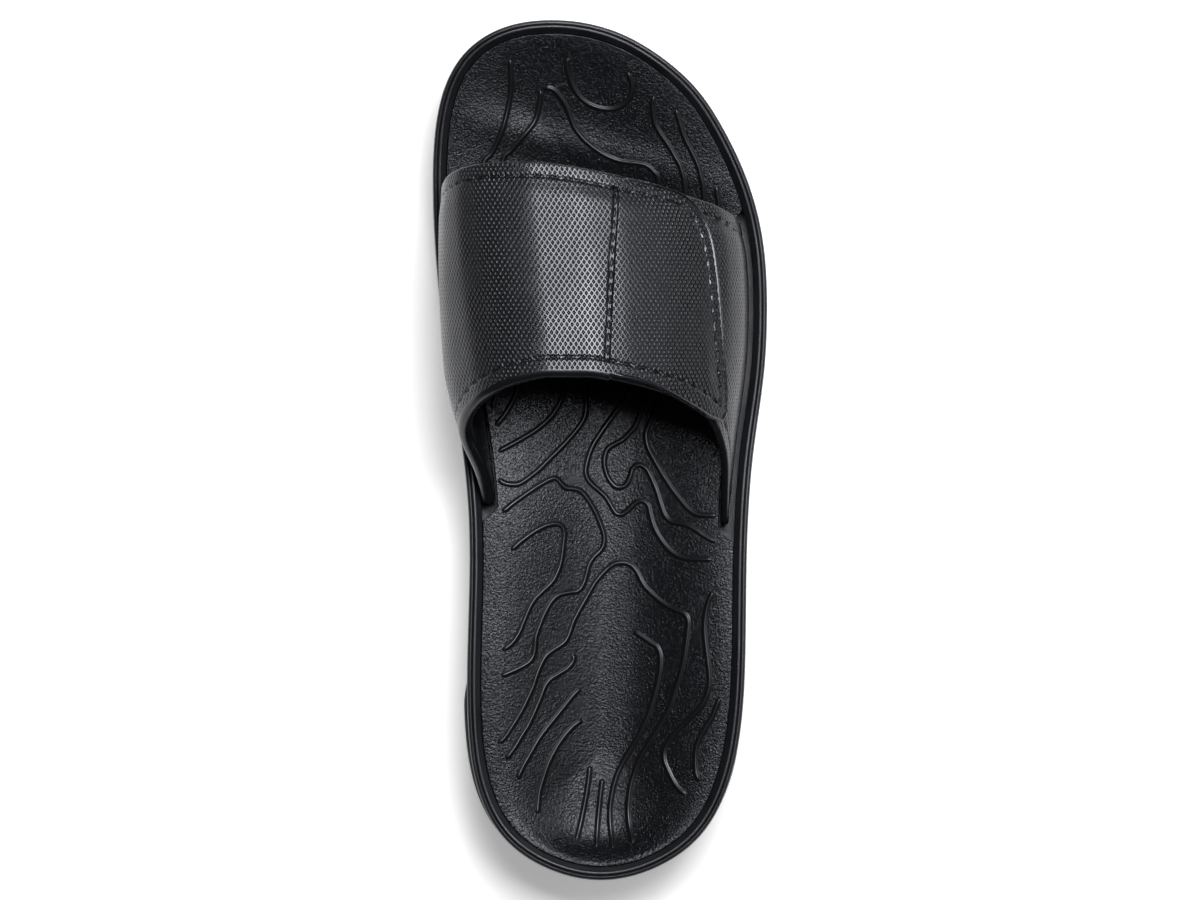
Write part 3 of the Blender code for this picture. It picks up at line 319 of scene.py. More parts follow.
def make_rim_curve():
    """The rim's outline from the toe's tip round the outer side to the heel's tip and back."""
    half = BALL_WIDTH / 2
    outer = [(r[2] * half, r[0] * LENGTH) for r in reversed(RIM_OUTLINE)]
    inner = [(-r[1] * half, r[0] * LENGTH) for r in RIM_OUTLINE]
    tips = [(TOE_TIP * half, LENGTH)], [(HEEL_TIP * half, 0.0)]
    curve = closed_spline(tips[0] + outer + tips[1] + inner, 60)
    toe, heel = int(curve[:, 1].argmax()), int(curve[:, 1].argmin())
    curve = np.roll(curve, -toe, 0)
    curve -= (curve.max(0) + curve.min(0)) / 2
    return np.vstack([curve, curve[:1]]), (heel - toe) % len(curve)


RIM_CURVE, OUTER_COUNT = make_rim_curve()
TRAVEL = np.concatenate([[0], np.cumsum(np.linalg.norm(np.diff(RIM_CURVE, axis=0), axis=1))])
AROUND = TRAVEL[-1]
TURN = TRAVEL[OUTER_COUNT]


def rim_at(travel):
    """Points of the rim's outline and their outward normals, at distances round from the toe."""

    def at(s):
        s = np.mod(s, AROUND)
        return np.column_stack([np.interp(s, TRAVEL, RIM_CURVE[:, i]) for i in (0, 1)])

    tangent = at(travel + REACH) - at(travel - REACH)
    tangent /= np.linalg.norm(tangent, axis=1)[:, None]
    return at(travel), np.column_stack([-tangent[:, 1], tangent[:, 0]])


def travel_of(shares):
    """Distances round the rim for shares of each side, down the outer side and up the inner."""
    shares = np.asarray(shares)
    return np.concatenate([TURN * shares, AROUND - (AROUND - TURN) * shares[-2:0:-1]])


def station(y):
    return np.asarray(y) / LENGTH + 0.5


def ground(y):
    return TOE_SPRING * table_curve(PROFILE, 1, station(y))


def rim_height(y):
    return HEEL_HEIGHT * table_curve(PROFILE, 2, station(y))


def dish(y):
    return CUP_DEPTH * table_curve(PROFILE, 3, station(y))


def tub_floor(y):
    return rim_height(y) - dish(y) - FOOTBED_THICKNESS


def wall_inset(points):
    """How far the bottom edge stands in from the rim at each point."""
    s = station(points[:, 1])
    side = np.clip(0.5 + points[:, 0] / (0.5 * BALL_WIDTH), 0, 1)
    return FLARE * (table_curve(LEAN, 1, s) * (1 - side) + table_curve(LEAN, 2, s) * side)


def lip_out(points):
    return LIP * table_curve(LEAN, 3, station(points[:, 1]))


def raised(flat, height):
    return np.column_stack([flat, np.broadcast_to(height, len(flat))])


def nearest(points, line):
    """How far points are from a line of close points."""
    tree = KDTree(len(line))
    for i, p in enumerate(line):
        tree.insert(p, i)
    tree.balance()
    return np.array([tree.find(p)[2] for p in points.reshape(-1, 3)]).reshape(points.shape[:-1])


def border_at(travel):
    """Where the footbed's edge lies, at distances round the rim."""
    rim, out = rim_at(travel)
    return rim - out * (RIM_WIDTH + SEAT_GAP)


def side_lines(low, high, count):
    """A grid of y between two shares of the length, and the border's inner and outer x there."""
    edge = border_at(travel_of(np.linspace(0, 1, 181)))
    grid = np.linspace(low, high, count) * LENGTH
    sides = []
    for half in (edge[180:], edge[:181]):
        order = np.argsort(half[:, 1])
        sides.append(np.interp(grid, half[order, 1], half[order, 0]))
    return grid, *sides


BORDER = raised(border_at(np.linspace(0, AROUND, 720, endpoint=False)), 0)
EDGE_GRID, EDGE_INNER, EDGE_OUTER = side_lines(-0.495, 0.495, 401)
ROOT_GRID, ROOT_INNER, ROOT_OUTER = side_lines(-0.15, 0.40, 221)


def cup_height(x, y):
    """The footbed's surface: level at its edge, down in a soft bowl to its lowest line, with
    the arch's rise on the inner side and a soft ridge under the toes."""
    shape = np.shape(x)
    x, y = np.ravel(x), np.ravel(y)
    away = nearest(raised(np.column_stack([x, y]), 0), BORDER)
    left = np.interp(y, EDGE_GRID, EDGE_INNER)
    right = np.interp(y, EDGE_GRID, EDGE_OUTER)
    low = left + CUP_LOW * (right - left)
    side = soft_step(-CUP_BLEND, CUP_BLEND, x - low)
    reach = (low - left) * (1 - side) + (right - low) * side
    reach = (reach**8 + CUP_WALL**8) ** (1 / 8)
    s = station(y)
    reach *= HEEL_WALL + (1 - HEEL_WALL) * soft_step(0.0, HEEL_WALL_END, s)
    share = np.minimum(away / reach, 1.0)
    inner = np.clip(-x / (BALL_WIDTH / 3), 0, 1)
    arch = ARCH_RISE * np.exp(-(((s - 0.46) / 0.13) ** 2)) * inner
    ridge = TOE_RIDGE * np.exp(-(((s - 0.845 + 0.25 * x / LENGTH) / 0.022) ** 2))
    height = rim_height(y) - FOOTBED_DROP - dish(y) * soft_step(0, 1, share)
    height += (arch + ridge) * np.minimum(share * 1.6, 1.0)
    return height.reshape(shape)


def arch_point(place, y):
    """Points on the strap band's outer face, at places on the arch and at y."""
    place, y = np.broadcast_arrays(np.asarray(place, float), np.asarray(y, float))
    left = np.interp(y, ROOT_GRID, ROOT_INNER)
    right = np.interp(y, ROOT_GRID, ROOT_OUTER)
    across = table_curve(STRAP_ARCH, 1, place)
    rise = table_curve(STRAP_ARCH, 2, place)
    rear, front = STRAP_ARCH[8][4], STRAP_ARCH[8][3]
    share = (station(y) - rear) / (front - rear)
    crest = STRAP_REAR_HEIGHT + (STRAP_FRONT_HEIGHT - STRAP_REAR_HEIGHT) * share
    base = rim_height(y)
    bulge = STRAP_BULGE * np.exp(-(((place - 0.17) / 0.09) ** 2)) * np.clip(1 - share, 0, 1)
    bulge = bulge * np.clip(1 + BULGE_FALL * share, 0, 1)
    x = left + (right - left) * across - bulge
    return np.stack([x, y, base + (crest - base) * rise], axis=-1)


def arch_normal(place, y):
    """The band's outward normals."""
    step = 0.01
    place, y = np.broadcast_arrays(np.asarray(place, float), np.asarray(y, float))
    low, high = np.maximum(place - step, 0), np.minimum(place + step, 1)
    along = arch_point(high, y) - arch_point(low, y)
    ahead = arch_point(place, y + REACH / 3) - arch_point(place, y - REACH / 3)
    n = np.cross(along, ahead)
    n /= np.linalg.norm(n, axis=-1)[..., None]
    n[place <= 0] = (-1, 0, 0)
    n[place >= 1] = (1, 0, 0)
    return n


def edge_y(place, rear):
    return (table_curve(STRAP_ARCH, 4 if rear else 3, place) - 0.5) * LENGTH


def seam_place(share):
    return table_curve(SEAM_LINE, 1, share)


def arch_length():
    """Places on the arch and how far each lies along it from the inner root, at mid width."""
    places = np.linspace(0, 1, 401)
    points = arch_point(places, 0.5 * (edge_y(places, True) + edge_y(places, False)).mean())
    return places, np.concatenate([[0], np.cumsum(np.linalg.norm(np.diff(points, axis=0), axis=1))])


ARCH_PLACES, ARCH_RUN = arch_length()


def from_photo(pixels):
    """Where pixels of the photograph's top view lie on the sandal seen from above."""
    pixels = np.asarray(pixels, float)
    x = (pixels[:, 0] - MIDDLE_PIXEL[0]) * PIXEL
    y = (MIDDLE_PIXEL[1] - pixels[:, 1]) * PIXEL
    return np.column_stack([x, y])


def smooth_line(points, spacing):
    """A smooth open line through the points, sampled at an even spacing."""
    points = np.asarray(points, float)
    padded = np.vstack([2 * points[0] - points[1], points, 2 * points[-1] - points[-2]])
    t = np.linspace(0, 1, 16, endpoint=False)[:, None]
    made = []
    for a, b, c, d in zip(padded, padded[1:], padded[2:], padded[3:]):
        made.append(
            0.5 * (2 * b + (c - a) * t + (2 * a - 5 * b + 4 * c - d) * t**2
                   + (3 * b - a - 3 * c + d) * t**3)
        )
    made = np.vstack(made + [points[-1:]])
    run = np.concatenate([[0], np.cumsum(np.linalg.norm(np.diff(made, axis=0), axis=1))])
    count = max(int(round(run[-1] / spacing)), 2) + 1
    even = np.linspace(0, run[-1], count)
    return np.column_stack([np.interp(even, run, made[:, i]) for i in range(made.shape[1])])


# Meshes


class Shell:
    """One mesh put together from grids of points, with named values at its points."""

    def __init__(self, name):
        self.name = name
        self.points, self.faces, self.values = [], [], {}
        self.count = 0

    def add(self, points, **values):
        """Adds points and returns their numbers in the same layout."""
        points = np.asarray(points, float)
        flat = points.reshape(-1, 3)
        numbers = np.arange(self.count, self.count + len(flat)).reshape(points.shape[:-1])
        self.points.append(flat)
        for key in set(self.values) | set(values):
            if key not in self.values:
                self.values[key] = [np.zeros((self.count, 3))]
            value = values.get(key, 0.0)
            if np.ndim(value) and np.shape(value) == points.shape[:-1]:
                value = np.asarray(value, float)[..., None] * np.array((1.0, 1.0, 1.0))
            self.values[key].append(np.broadcast_to(value, points.shape).reshape(-1, 3))
        self.count += len(flat)
        return numbers

    def skin(self, numbers, around=False, flip=False):
        """Quads over a layout of point numbers; around closes its second direction."""
        a = numbers if not around else np.hstack([numbers, numbers[:, :1]])
        quads = np.stack([a[:-1, :-1], a[:-1, 1:], a[1:, 1:], a[1:, :-1]], -1).reshape(-1, 4)
        self.faces.append(quads[:, ::-1] if flip else quads)

    def span(self, ring, flip=False):
        """Closes a ring of 2n points with strips between its two sides."""
        n = len(ring) // 2
        left, right = ring[1:n], ring[:n:-1]
        self.skin(np.stack([left, right], 1), flip=flip)
        tips = np.array([[ring[0], left[0], right[0], right[0]],
                         [ring[n], right[-1], left[-1], left[-1]]])
        self.faces.append(tips if flip else tips[:, ::-1])

    def cap(self, ring, flip=False):
        """Closes a ring with strips across it."""
        quads = np.array([[ring[k], ring[k + 1], ring[-2 - k], ring[-1 - k]]
                          for k in range((len(ring) - 1) // 2)])
        self.faces.append(quads[:, ::-1] if flip else quads)

    def build(self, material, slot, *nodes, sharp=40, weld=2e-6):
        """Makes the object, closes doubled points and lets it ride on the frame."""
        points = np.vstack(self.points)
        faces = np.vstack(self.faces)
        mesh = bpy.data.meshes.new(self.name)
        mesh.from_pydata(points.tolist(), [], [tuple(dict.fromkeys(f)) for f in faces.tolist()])
        for key, blocks in self.values.items():
            layer = mesh.attributes.new(key, "FLOAT_VECTOR", "POINT")
            layer.data.foreach_set("vector", np.vstack(blocks).astype(np.float32).ravel())
        work = bmesh.new()
        work.from_mesh(mesh)
        bmesh.ops.remove_doubles(work, verts=work.verts, dist=weld)
        bmesh.ops.dissolve_degenerate(work, edges=work.edges, dist=weld)
        bmesh.ops.recalc_face_normals(work, faces=work.faces)
        work.to_mesh(mesh)
        work.free()
        mesh.shade_smooth()
        mesh.set_sharp_from_angle(angle=math.radians(sharp))
        made = bpy.data.objects.new(self.name, mesh)
        bpy.context.scene.collection.objects.link(made)
        mesh.materials.append(material)
        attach(made, "root")
        if nodes:
            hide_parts(*nodes)
        return made


def rounded(rings, radii, steps=4):
    """Rings with the corners between them rounded: each ring that has a radius becomes an arc."""
    made = []
    for i, (ring, radius) in enumerate(zip(rings, radii)):
        if not radius or i in (0, len(rings) - 1):
            made.append(ring)
            continue
        ends = []
        for other in (rings[i - 1], rings[i + 1]):
            run = other - ring
            long = np.linalg.norm(run, axis=-1)[..., None]
            ends.append(ring + run * np.minimum(radius / np.maximum(long, 1e-9), 0.49))
        for k in range(steps + 1):
            t = k / steps
            made.append(ends[0] * (1 - t) ** 2 + ring * 2 * t * (1 - t) + ends[1] * t * t)
    return np.array(made)


def tube(points, sides, up, radius, squash=1.0):
    """Rings of a closed tube along paths of points: points is (paths, n, 3) and radius (n)."""
    along = np.gradient(points, axis=1)
    along /= np.linalg.norm(along, axis=-1)[..., None]
    side = np.cross(along, up)
    side /= np.maximum(np.linalg.norm(side, axis=-1), 1e-12)[..., None]
    top = np.cross(side, along)
    turn = np.linspace(0, 2 * math.pi, sides, endpoint=False)
    round_ = (side[..., None, :] * np.cos(turn)[:, None]
              + top[..., None, :] * np.sin(turn)[:, None] * squash)
    return points[..., None, :] + round_ * np.asarray(radius)[:, None, None]


def add_threads(shell, starts, ends, up, radius, squash, rows=7, sides=8):
    """Stitches from starts to ends: threads whose ends taper and go down into the surface."""
    t = np.linspace(0, 1, rows)
    full = np.sin(math.pi * t)
    rise = (1.3 * full**0.55 - 0.8) * radius * squash
    path = starts[:, None] * (1 - t)[:, None] + ends[:, None] * t[:, None]
    path = path + up[:, None] * rise[:, None]
    rings = tube(path, sides, up[:, None], radius * (0.15 + 0.85 * full**0.6), squash)
    for one in rings:
        numbers = shell.add(one)
        shell.skin(numbers, around=True)
        shell.cap(numbers[0], flip=True)
        shell.cap(numbers[-1])


# Materials


# The photographed black, and the cool tint of its sheen
BLACK = (0.0036, 0.0040, 0.0050)
COOL = (0.90, 0.92, 1.0, 1.0)


class Wiring:
    """A material's nodes, put together step by step."""

    def __init__(self, name, colour, roughness, **sockets):
        self.material = bpy.data.materials.new(name)
        self.material.use_nodes = True
        self.tree = self.material.node_tree
        self.shader = self.tree.nodes["Principled BSDF"]
        self.base, self.roughness = colour, roughness
        sockets = {"Base Color": (*colour, 1), "Roughness": roughness, **sockets}
        for key, value in sockets.items():
            self.shader.inputs[key.replace("_", " ")].default_value = value
        self.place = self.node("ShaderNodeTexCoord").outputs["Object"]

    def node(self, kind, inputs=(), **settings):
        made = self.tree.nodes.new(kind)
        for key, value in settings.items():
            setattr(made, key, value)
        for key, value in dict(inputs).items():
            if isinstance(value, bpy.types.NodeSocket):
                self.tree.links.new(value, made.inputs[key])
            else:
                made.inputs[key].default_value = value
        return made

    def math(self, operation, a, b=0.0, c=0.0):
        return self.node("ShaderNodeMath", {0: a, 1: b, 2: c}, operation=operation).outputs[0]

    def value(self, name, part="Fac"):
        """A named value of the mesh's points."""
        return self.node("ShaderNodeAttribute", attribute_name=name).outputs[part]

    def noise(self, size, detail, roughness=0.5, stretch=None):
        """Noise of about that size in metres, from 0 to 1."""
        place = self.place
        if stretch:
            place = self.node("ShaderNodeMapping", {"Vector": place, "Scale": stretch}).outputs[0]
        made = self.node("ShaderNodeTexNoise", {"Vector": place, "Scale": 1 / size,
                                                 "Detail": detail, "Roughness": roughness})
        return made.outputs["Fac"]

    def spread(self, value, low, high, to_low=0.0, to_high=1.0):
        made = self.node("ShaderNodeMapRange", {"Value": value, "From Min": low, "From Max": high,
                                                "To Min": to_low, "To Max": to_high})
        return made.outputs["Result"]

    def bump(self, height, distance, strength):
        made = self.node("ShaderNodeBump", {"Height": height, "Distance": distance,
                                            "Strength": strength})
        self.link(made.outputs["Normal"], "Normal")

    def gloss(self, size, less, more, low=0.3, high=0.7):
        """Roughness that varies in clouds of that size. Returns the clouds and the roughness."""
        cloud = self.noise(size, 2)
        rough = self.spread(cloud, low, high, self.roughness - less, self.roughness + more)
        self.link(rough, "Roughness")
        return cloud, rough

    def shade(self, share, low, high):
        """The base colour, times low where the share is 0 and times high where it is 1."""
        mix = self.node("ShaderNodeMix", {0: share}, data_type="RGBA")
        mix.inputs[6].default_value = (*(c * low for c in self.base), 1)
        mix.inputs[7].default_value = (*(c * high for c in self.base), 1)
        self.link(mix.outputs[2], "Base Color")
        return self.material

    def link(self, socket, name):
        self.tree.links.new(socket, self.shader.inputs[name])


def black(name, roughness, level, colour=BLACK):
    return Wiring(name, colour, roughness, Specular_IOR_Level=level, Specular_Tint=COOL)


def foam_material():
    """Moulded black foam: a fine pebbled grain with faint cloudy gloss."""
    wire = black("midsole_foam", 0.42, 0.5)
    pebble = wire.noise(0.5 * MM, 2, 0.6)
    fine = wire.noise(0.175 * MM, 1)
    wire.bump(wire.math("MULTIPLY_ADD", fine, 0.35, pebble), 0.08 * MM, 0.8)
    cloud, _ = wire.gloss(14 * MM, 0.05, 0.06, 0.35, 0.65)
    return wire.shade(cloud, 0.9, 1.15)


def footbed_material():
    """Soft foam with a fine leather grain: shallow pebbles with a few sharper ones."""
    wire = black("footbed_grain", 0.27, 0.27)
    pebble = wire.noise(0.8 * MM, 2, 0.55)
    peak = wire.spread(wire.noise(0.62 * MM, 1), 0.54, 0.70)
    height = wire.math("MULTIPLY_ADD", peak, 0.55, wire.spread(pebble, 0.3, 0.7, 0.0, 0.6))
    wire.bump(height, 0.15 * MM, 0.9)
    wire.gloss(22 * MM, 0.03, 0.04)
    return wire.shade(pebble, 0.7, 1.2)


def bead_material():
    """The footbed's raised lines and the plain margins beside them: smooth, with a faint skin."""
    wire = black("footbed_bead", 0.32, 0.4, (0.0045, 0.0046, 0.005))
    skin = wire.noise(0.9 * MM, 2)
    wire.bump(skin, 0.03 * MM, 0.6)
    wire.gloss(12 * MM, 0.04, 0.05)
    return wire.shade(skin, 0.8, 1.15)


WEAVE_CELL = (1.80, 2.62)


def weave_material(name):
    """Coated black fabric embossed with a net of raised diamonds, with painted shade in its pits.
    The mesh gives the place on the cloth in millimetres, and where its lining shows, which is
    smooth."""
    wire = black(name, 0.26, 0.55)
    split = wire.node("ShaderNodeSeparateXYZ", {0: wire.value("cloth", "Vector")})
    u, v = (wire.math("DIVIDE", split.outputs[k], WEAVE_CELL[k]) for k in (0, 1))
    pits = [wire.spread(wire.math("PINGPONG", wire.math(way, v, u), 0.5), 0.12, 0.38)
            for way in ("ADD", "SUBTRACT")]
    woven = wire.math("SUBTRACT", 1.0, wire.value("lining"))
    pit = wire.math("MULTIPLY", wire.math("MULTIPLY", *pits), woven)
    skin = wire.math("MULTIPLY", wire.noise(0.5 * MM, 2), 0.16)
    wire.bump(wire.math("SUBTRACT", skin, pit), 0.21 * MM, 1.0)
    _, rough = wire.gloss(16 * MM, 0.03, 0.05)
    wire.link(wire.math("MULTIPLY_ADD", pit, 0.25, rough), "Roughness")
    # Painted shade: the base colour is darker in the pits and a little lighter on the ridges.
    return wire.shade(pit, 1.1, 0.4)


def tread_material():
    """The tread's foam rubber: fine grain all over, stipple in its bands, bricks in its pads."""
    wire = black("tread_rubber", 0.42, 0.5)
    zone = wire.node("ShaderNodeSeparateXYZ", {0: wire.value("zone", "Vector")})
    cells = wire.node("ShaderNodeTexVoronoi", {"Vector": wire.place, "Scale": 1 / (0.9 * MM)})
    stipple = wire.spread(cells.outputs["Distance"], 0.5, 0.1)
    turn = wire.node("ShaderNodeMapping", {"Vector": wire.place,
                                           "Rotation": (0, 0, math.atan(TREAD_TILT))})
    bricks = wire.node("ShaderNodeTexBrick", {"Vector": turn.outputs[0], "Scale": 1 / (2.4 * MM),
                                              "Mortar Size": 0.06, "Mortar Smooth": 0.4,
                                              "Brick Width": 0.9, "Row Height": 0.45})
    mortar = wire.math("SUBTRACT", 1.0, bricks.outputs["Fac"])
    dots, wall = (wire.math("MULTIPLY", part, zone.outputs[k])
                  for k, part in enumerate((stipple, mortar)))
    grain = wire.math("MULTIPLY", wire.noise(0.4 * MM, 2), 0.35)
    wire.bump(wire.math("ADD", wire.math("ADD", dots, wall), grain), 0.28 * MM, 0.9)
    cloud, _ = wire.gloss(18 * MM, 0.05, 0.07)
    return wire.shade(cloud, 0.85, 1.2)


def thread_material():
    """Black polyester thread with its twist."""
    wire = black("thread", 0.34, 0.3, (0.007, 0.0072, 0.0078))
    twist = wire.noise(0.35 * MM, 2, 0.6, stretch=(1, 1.6, 1))
    wire.bump(twist, 0.05 * MM, 0.7)
    return wire.shade(twist, 0.6, 1.3)


# The midsole


RIM_SECTION = (
    # in from the edge, down from the top, rounding: the shoulder, the groove, the bead, the slope
    (0.00, 1.40, 0.9),
    (0.45, 0.35, 0.4),
    (1.32, 0.20, 0.2),
    (1.58, 0.66, 0.12),
    (1.86, 0.14, 0.2),
    (2.15, 0.00, 0.3),
    (2.75, 0.00, 0.5),
    (3.25, 0.40, 0.4),
    (4.57, 1.30, 0.1),
)


def make_midsole(material):
    """The tub with its side grooves, its rim with a bead, and its recess."""
    sole = Shell("midsole_shell")
    rim, out = rim_at(travel_of(np.linspace(0, 1, MIDSOLE_STEPS)))
    y = rim[:, 1]
    top = rim_height(y)
    low = ground(y) + OUTSOLE_SIDE + SEAT_GAP
    inset = wall_inset(rim) * (1 - OUTSOLE_SIDE / HEEL_HEIGHT)

    def at(distance, height):
        return raised(rim - out * np.broadcast_to(distance, len(rim))[:, None], height)

    def wall(share, depth=0.0):
        return at(inset * (1 - share) ** 1.3 + depth, low + (top - low) * share)

    def groove(share):
        half = SIDE_GROOVE_WIDTH / 2 / (HEEL_HEIGHT - OUTSOLE_SIDE)
        spots = ((-1.0, 0.0), (-0.6, SIDE_GROOVE_DEPTH), (0.6, SIDE_GROOVE_DEPTH), (1.0, 0.0))
        return [(wall(share + s * half, d), 0.25 * MM) for s, d in spots]

    core = ground(y) + OUTSOLE_CORE + SEAT_GAP
    core_inset = inset + CORE_INSET - SEAT_GAP
    rings = [
        (at(core_inset + 2 * SEAT_GAP, core), 0),
        (at(core_inset, low), 0),
        (wall(0.0, EDGE_CUT), 0.5 * MM),
        (wall(0.03), 0.5 * MM),
        *groove(0.14),
        *[(wall(share), 0) for share in (0.2, 0.27, 0.34, 0.42, 0.5, 0.58, 0.66, 0.72)],
        *groove(0.80),
        *[(at(inward * MM, top - down * MM), turn * MM) for inward, down, turn in RIM_SECTION],
        (at(RIM_WIDTH, tub_floor(y)), 0),
    ]
    made = rounded([r for r, _ in rings], [c for _, c in rings])
    numbers = sole.add(made)
    sole.skin(numbers, around=True)
    sole.span(numbers[0], flip=True)
    sole.span(numbers[-1])
    return sole.build(material, "midsole", "midsole")


# The footbed and its raised lines


def notch_depth(y, outer):
    """How deep the footbed is notched beside the strap's roots, from 0 to 1."""
    row = STRAP_ARCH[-1] if outer else STRAP_ARCH[0]
    clear, slope = ROOT_SLACK / LENGTH, ROOT_TAPER / LENGTH
    ends = (row[4] - clear - slope, row[4] - clear, row[3] + clear, row[3] + clear + slope)
    return np.interp(station(y), ends, (0, 1, 1, 0))


def make_footbed(material):
    bed = Shell("footbed_inlay")
    count = FOOTBED_STEPS
    rim, out = rim_at(travel_of(np.linspace(0, 1, count + 1)))
    outer = rim[:, 0] > 0
    deep = np.where(outer, notch_depth(rim[:, 1], True), notch_depth(rim[:, 1], False))
    inset = RIM_WIDTH + FOOTBED_GAP + deep * (BAND_WALL + ROOT_CLEAR)

    def at(distance, height=None, drop=0.0):
        flat = rim - out * distance[:, None]
        if height is None:
            height = cup_height(flat[:, 0], flat[:, 1]) - drop
        return raised(flat, height)

    base = tub_floor(rim[:, 1]) + SEAT_GAP
    rings = [at(inset, base), at(inset, None, FOOTBED_ROUND)]
    for t in (0.25, 0.5, 0.75, 1.0):
        a = t * math.pi / 2
        rings.append(at(inset + FOOTBED_ROUND * (1 - math.cos(a)), None,
                        FOOTBED_ROUND * (1 - math.sin(a))))
    edge = bed.add(np.array(rings))
    bed.skin(edge, around=True)
    top = rings[-1]
    sides = top[: count + 1], np.vstack([top[:1], top[:count - 1:-1]])
    share = (1 - np.cos(np.linspace(0, math.pi, FOOTBED_COLUMNS)[1:-1])) / 2
    flat = sides[0][1:-1, None] * (1 - share)[:, None] + sides[1][1:-1, None] * share[:, None]
    flat[..., 2] = cup_height(flat[..., 0], flat[..., 1])
    middle = bed.add(flat)
    last = edge[-1]
    rows = np.hstack([last[1:count, None], middle, last[:count:-1][:, None]])
    bed.skin(rows)
    for tip, row in ((last[0], rows[0]), (last[count], rows[-1][::-1])):
        fan = np.column_stack([np.full(len(row) - 1, tip), row[1:], row[:-1], row[:-1]])
        bed.faces.append(fan)
    bed.span(edge[0], flip=True)
    return bed.build(material, "footbed", "footbed")
